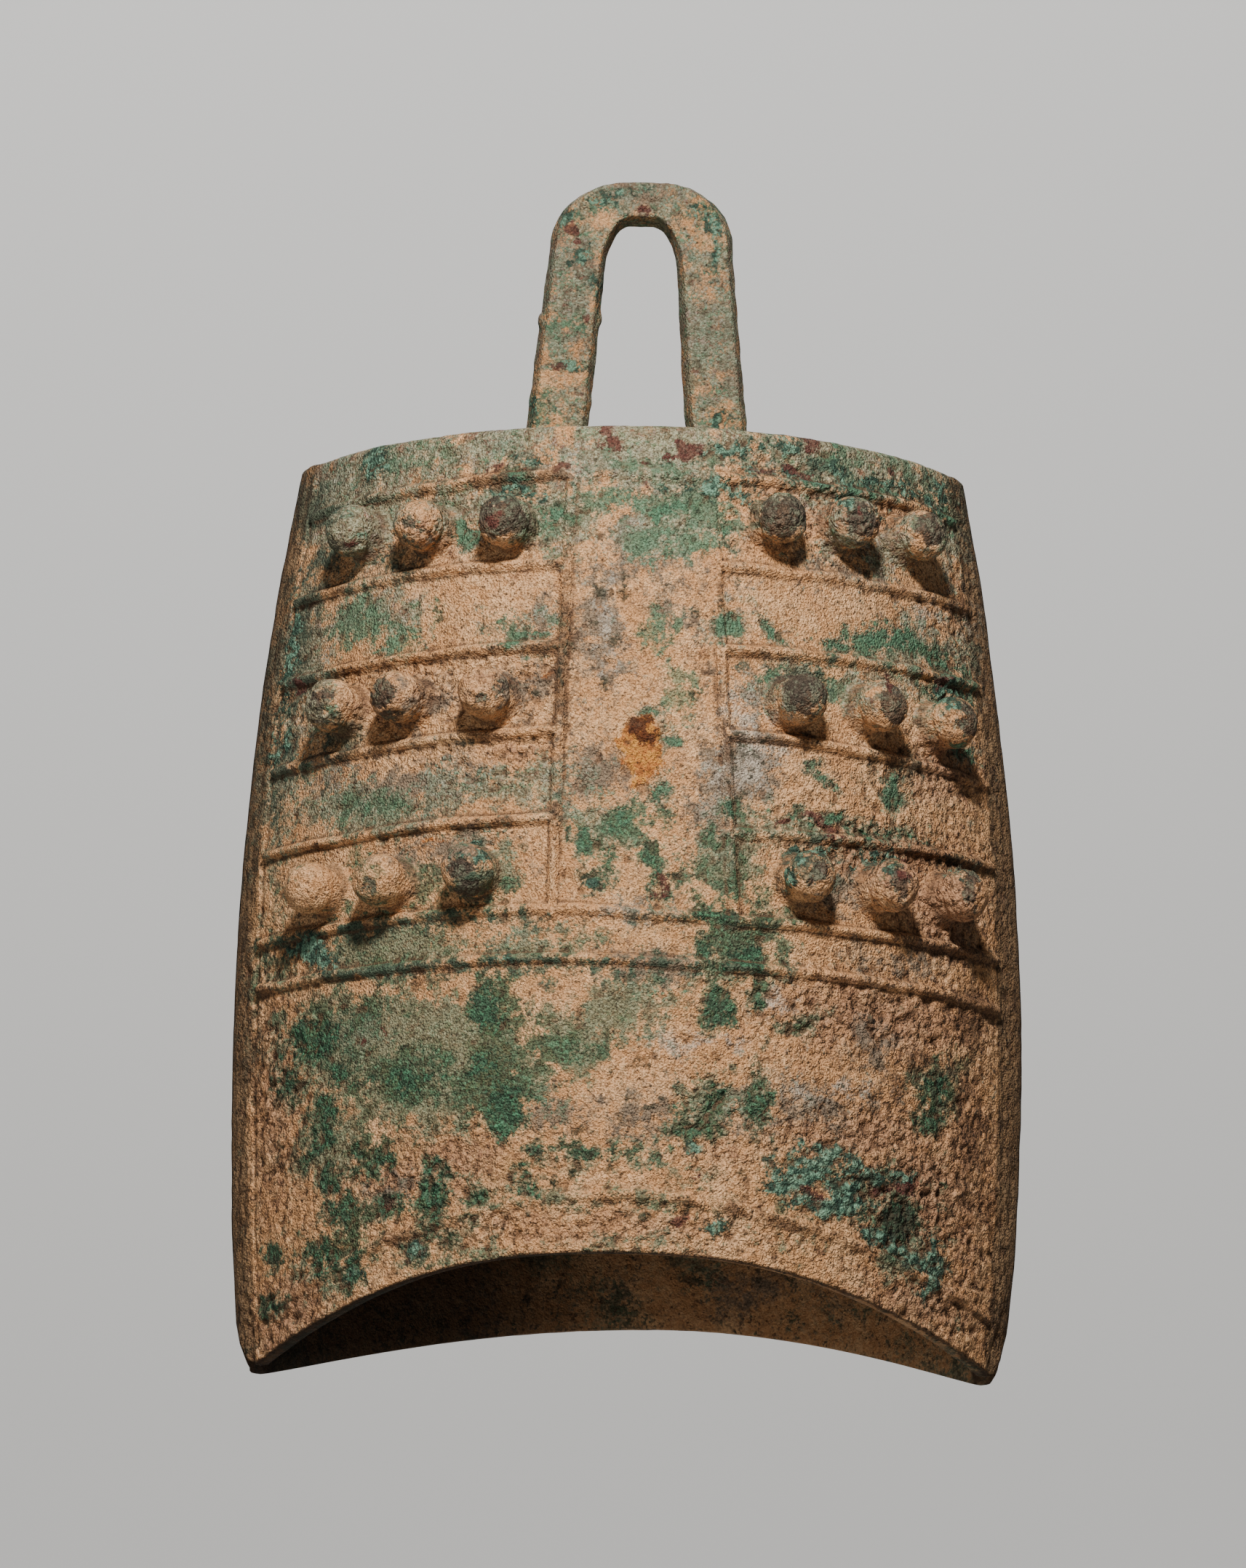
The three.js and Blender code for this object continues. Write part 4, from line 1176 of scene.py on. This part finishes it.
TAN = colour(208, 154, 106)
TAN_LIGHT = colour(230, 182, 134)
TAN_DARK = colour(150, 106, 80)
OCHRE = colour(194, 152, 104)
TAN_DEEP = colour(166, 124, 98)
GREY_VEIL = colour(112, 104, 92)
LILAC = colour(192, 180, 164)
SAGE = colour(120, 124, 102)
SAGE_PALE = colour(152, 162, 138)
SAGE_DARK = colour(82, 74, 58)
FIELD_GREEN = colour(84, 108, 80)
MAROON_FLECK = colour(120, 74, 62)
EMERALD = colour(62, 100, 76)
EMERALD_DARK = colour(32, 56, 42)
EMERALD_LIGHT = colour(84, 144, 108)
HIGH_GREEN = colour(112, 158, 126)
OLIVE = colour(92, 92, 62)
TURQUOISE = colour(118, 160, 136)
TEAL = colour(52, 88, 76)
TEAL_DARK = colour(30, 48, 42)
TEAL_GREY = colour(70, 86, 72)
CUPRITE = colour(98, 48, 44)
RUST = colour(210, 144, 64)
RUST_DEEP = colour(168, 98, 42)
RUST_CORE = colour(74, 36, 20)
# Brown earth on the crust, also used for painted shade in recesses and under the cords
BROWN_EARTH_AND_SHADE = colour(98, 71, 52)
CAP_BROWN = colour(72, 60, 52)
STRIP_OLIVE = colour(76, 66, 50)
CAVE = colour(64, 42, 30)
# Painted shadow inside the mouth, darkest on the left
INNER_SHADOW = colour(20, 14, 10)
LIP_BROWN = colour(52, 36, 24)
SPECK = colour(58, 46, 36)
SPOT_DARK = colour(56, 58, 44)
SPECK_AND_GAP_SHADE = (0.44, 0.42, 0.41, 1.0)
GRAIN_LIGHT = (1.20, 1.20, 1.18, 1.0)


def bronze_material(name, sage_bias=0.0, grainy=1.0, shade=1.0):
    """Corroded bronze under an earth crust: patches by attribute, broken up by noise."""
    nodes = Nodes(name)
    emerald, turquoise, cuprite = nodes.attribute("patches")
    sage, grey, pale = nodes.attribute("veils")
    rust, core, brown = nodes.attribute("marks")
    rough, recess_shade, inside = nodes.attribute("state")
    cap, strip, lip = nodes.attribute("wear")
    jade, teal, ochre = nodes.attribute("loose")
    spot, inner_shadow = nodes.attribute("dark")[:2]

    # Noise from fine to broad, and the grit that breaks up the patches' edges
    grain = nodes.noise(0.55, 1, 1.0)
    speckle = nodes.noise(0.9, 2, 1.5)
    fine = nodes.noise(1.6, 3, 3.0)
    small = nodes.noise(3.6, 4, 3.0)
    middle = nodes.noise(10, 5, 3.0)
    broad = nodes.noise(30, 6, 2.0)
    streaks = nodes.noise(2.4, 10, 3.0, (0.25, 0.4, 1.0))
    threads = nodes.noise(1.5, 11, 2.0, (1.0, 1.0, 0.2))
    gap, tint, luck = nodes.grains(0.62, 12)
    dots = nodes.noise(0.45, 15, 1.0)
    low_grain = nodes.ramp(gap, 0.05, 0.6)
    low_crumb = nodes.ramp(nodes.plus(nodes.grains(2.1, 13)[0], nodes.spread(fine, 0.5)), 0.1, 0.7)
    grit = nodes.plus(nodes.spread(luck, 0.24), nodes.spread(fine, 0.45))
    ragged = nodes.plus(grit, nodes.spread(small, 0.7))
    loose = nodes.plus(ragged, nodes.spread(middle, 0.8))
    high = nodes.climb(WALL_LOW.z + 100 * MM, WALL_LOW.z + 150 * MM)

    # The tones of each patina
    maroon_flecks = nodes.noise(2.6, 7, 2.0, (0.5, 0.6, 1.0))
    lilac_flecks = nodes.cover(nodes.noise(3, 14, 3.0), grit, 0.58, 0.70, 0.5)
    sage_tone = nodes.coats(
        SAGE,
        (speckle, nodes.spread(tint, 0.3), 0.36, 0.66, SAGE_PALE),
        (fine, nodes.spread(small, 0.8), 0.48, 0.68, 0.75, SAGE_DARK),
        (streaks, grit, 0.56, 0.72, 0.7, EMERALD_LIGHT),
        (maroon_flecks, grit, 0.60, 0.70, 0.75, MAROON_FLECK),
        (nodes.noise(5, 8, 3.0), grit, 0.58, 0.72, 0.5, TURQUOISE),
        (nodes.times(lilac_flecks, high), LILAC),
        (nodes.math("MULTIPLY_ADD", high, -0.5, 0.5), FIELD_GREEN),
    )
    green_tone = nodes.coats(
        EMERALD,
        (fine, nodes.spread(tint, 0.3), 0.36, 0.64, EMERALD_DARK),
        (speckle, nodes.spread(small, 0.7), 0.50, 0.70, 0.8, EMERALD_LIGHT),
        (middle, ragged, 0.50, 0.70, 0.6, OLIVE),
        (nodes.times(high, 0.36), HIGH_GREEN),
    )
    blue_tone = nodes.coats(TURQUOISE, (fine, nodes.spread(tint, 0.25), 0.52, 0.74, TEAL))
    # Painted shade in the crevices between the crumbs of the turquoise crust
    crevice_shade = nodes.times(nodes.ramp(low_crumb, 0.65, 1.0), nodes.cover(turquoise, ragged, 0.36, 0.56, 0.75))
    cap_tone = nodes.coats(
        CAP_BROWN,
        (speckle, nodes.spread(small, 0.6), 0.50, 0.74, 0.6, GREY_VEIL),
        (small, grit, 0.50, 0.68, 0.6, SAGE),
    )
    rust_tone = nodes.coats(RUST, (small, nodes.spread(tint, 0.3), 0.34, 0.62, RUST_DEEP))
    crack = nodes.cover(threads, nodes.spread(small, 0.4), 0.52, 0.62, 0.55)
    crack = nodes.times(nodes.ramp(strip, 0.3, 0.9), crack)

    # The whole surface, from the tan crust up
    surface = nodes.coats(
        TAN,
        (middle, nodes.spread(fine, 1.0), 0.34, 0.68, TAN_LIGHT),
        (broad, nodes.spread(small, 0.6), 0.50, 0.80, 0.4, OCHRE),
        (ochre, ragged, 0.42, 0.85, 0.7, OCHRE),
        (rough, ragged, 0.35, 0.9, 0.7, TAN_DEEP),
        (small, grit, 0.53, 0.80, 0.7, TAN_DARK),
        (grey, loose, 0.44, 0.86, 0.85, GREY_VEIL),
        (pale, ragged, 0.40, 0.85, 0.8, LILAC),
        (nodes.plus(sage, sage_bias), ragged, 0.38, 0.74, 0.84, sage_tone),
        (jade, loose, 0.46, 0.82, 0.75, green_tone),
        (teal, loose, 0.42, 0.85, 0.8, TEAL_GREY),
        (emerald, ragged, 0.38, 0.52, 0.5, SAGE_DARK),
        (emerald, ragged, 0.46, 0.60, 0.86, green_tone),
        (turquoise, ragged, 0.30, 0.50, 0.5, TEAL_GREY),
        (turquoise, ragged, 0.46, 0.66, 0.88, blue_tone),
        (crevice_shade, TEAL_DARK),
        (cap, ragged, 0.40, 0.62, 0.9, cap_tone),
        (cuprite, ragged, 0.42, 0.60, 0.8, CUPRITE),
        (rust, ragged, 0.40, 0.62, 0.88, rust_tone),
        (core, ragged, 0.36, 0.66, 0.92, RUST_CORE),
        (brown, ragged, 0.45, 0.85, 0.7, BROWN_EARTH_AND_SHADE),
        (strip, nodes.spread(threads, 0.8), 0.22, 0.90, 0.74, STRIP_OLIVE),
        (crack, LIP_BROWN),
        # Painted shade, brown, in the recesses and round the bosses' necks
        (recess_shade, nodes.spread(fine, 0.8), 0.15, 1.3, 0.75, BROWN_EARTH_AND_SHADE),
        (nodes.noise(1.3, 9, 1.0), 0.0, 0.64, 0.72, 0.7, SPECK),
        (spot, ragged, 0.42, 0.78, 0.75, SPOT_DARK),
        (nodes.times(inside, 0.5), CAVE),
        (nodes.times(inner_shadow, 0.85), INNER_SHADOW),
        (lip, ragged, 0.45, 0.95, 0.75, LIP_BROWN),
    )

    # Dark specks and painted shade in the gaps between the grains, and grains that differ in lightness
    outside = nodes.math("MULTIPLY_ADD", inside, -0.6 * grainy, grainy)
    specks_and_gap_shade = nodes.times(nodes.ramp(nodes.plus(dots, nodes.spread(gap, 0.5)), 0.46, 0.70), outside)
    surface = nodes.mix(specks_and_gap_shade, surface, nodes.mix(1.0, surface, SPECK_AND_GAP_SHADE, "MULTIPLY"))
    surface = nodes.mix(nodes.ramp(tint, 0.2, 1.0), surface, nodes.mix(1.0, surface, GRAIN_LIGHT, "MULTIPLY"))
    # Painted shade: the whole surface darkened by the shade factor
    surface = nodes.mix(1.0, surface, (shade, shade, shade, 1), "MULTIPLY")

    # The finest relief: sand grains everywhere, crumbs and flakes where the crust is rough
    flakes = nodes.math("ABSOLUTE", nodes.spread(small, 4.0))
    crumbs = nodes.math("MULTIPLY_ADD", flakes, 0.8, nodes.times(low_crumb, -1.3))
    crumbs = nodes.times(crumbs, nodes.math("MULTIPLY_ADD", rough, 1.25, 0.05))
    height = nodes.math("MULTIPLY_ADD", fine, 1.2, grain)
    height = nodes.plus(nodes.math("MULTIPLY_ADD", low_grain, -0.28, height), crumbs)
    height = nodes.times(height, outside)
    bump = nodes.add("Bump")
    nodes.put(bump.inputs["Strength"], 1.0)
    nodes.put(bump.inputs["Distance"], BUMP_DEPTH)
    nodes.put(bump.inputs["Height"], height)
    shader = nodes.add("BsdfPrincipled")
    nodes.put(shader.inputs["Base Color"], surface)
    roughness = nodes.math("MULTIPLY_ADD", nodes.ramp(emerald, 0.5, 0.6), -0.2, 0.92)
    nodes.put(shader.inputs["Roughness"], roughness)
    shader.inputs["Specular IOR Level"].default_value = 0.3
    nodes.put(shader.inputs["Normal"], bump.outputs["Normal"])
    output = nodes.add("OutputMaterial")
    nodes.put(output.inputs["Surface"], shader.outputs["BSDF"])
    return nodes.material


# Stage: a pale floor and backdrop, and soft studio light

def plain_material(name, tone):
    material = bpy.data.materials.new(name)
    material.use_nodes = True
    shader = material.node_tree.nodes["Principled BSDF"]
    shader.inputs["Base Color"].default_value = tone
    shader.inputs["Roughness"].default_value = 0.9
    return material


def stage_sweep():
    """A floor that curves up into a backdrop behind the bell."""
    floor_z, back_y, front_y, half, bend = WALL_LOW.z - 0.95, 7.5, -9.0, 9.0, 2.0
    profile = [(front_y, floor_z), (back_y - bend, floor_z)]
    profile += [(back_y - bend + bend * math.sin(a), floor_z + bend - bend * math.cos(a))
                for a in np.radians(np.arange(10, 91, 10))]
    profile.append((back_y, 9.0))
    points = [(x, y, z) for y, z in profile for x in (-half, half)]
    quads = [(2 * i, 2 * i + 1, 2 * i + 3, 2 * i + 2) for i in range(len(profile) - 1)]
    sweep = make_object("studio_sweep", np.array(points), np.array(quads), {})
    sweep.data.materials.append(plain_material("pale_paper", (0.62, 0.61, 0.59, 1)))


def area_light(name, place, target, size, power, tone=(1, 1, 1)):
    data = bpy.data.lights.new(name, "AREA")
    data.shape = "SQUARE"
    data.size = size
    data.energy = power
    data.color = tone
    light = add_object(name, data)
    light.location = place
    light.rotation_euler = (Vector(target) - Vector(place)).to_track_quat("-Z", "Y").to_euler()


def studio_light():
    middle = (0, 0, AXIS[2] + BODY_HEIGHT * 0.6)
    area_light("key_light", (-0.02, -0.76, 0.30), middle, 0.10, 11.5, (1.0, 0.96, 0.9))
    area_light("low_light", (-0.6, -1.0, -0.85), middle, 0.5, 2.5, (1.0, 0.95, 0.88))
    area_light("left_light", (-1.6, -1.0, 0.2), middle, 1.0, 1.1, (0.95, 0.97, 1.0))
    area_light("right_light", (1.6, -1.0, 0.2), middle, 1.0, 0.75, (0.95, 0.97, 1.0))
    area_light("back_light", (0.0, 1.3, 0.8), middle, 0.5, 18, (1.0, 0.97, 0.92))
    area_light("backdrop_light", (0.0, 4.6, 3.6), (0, 7.8, 0.6), 1.6, 190)
    world = bpy.data.worlds.new("pale_room")
    world.use_nodes = True
    background = world.node_tree.nodes["Background"]
    background.inputs["Color"].default_value = (0.9, 0.92, 0.95, 1)
    background.inputs["Strength"].default_value = 0.08
    bpy.context.scene.world = world


def build():
    wall = bronze_material("crusted_bronze")
    crown = bronze_material("crown_patina", sage_bias=0.1)
    # The loop's colour is darkened by painted shade
    loop = bronze_material("loop_patina", sage_bias=0.05, grainy=0.8, shade=0.77)
    boss = bronze_material("boss_patina", sage_bias=0.05)
    for face in ("front", "back"):
        wall_piece(face, wall)
        for side, rows in BOSS_PLACES.items():
            for row, places in enumerate(rows):
                for column in range(len(places)):
                    boss_piece(face, side, row, column, boss)
    crown_piece(crown)
    loop_piece(loop)
    stage_sweep()
    studio_light()


build()
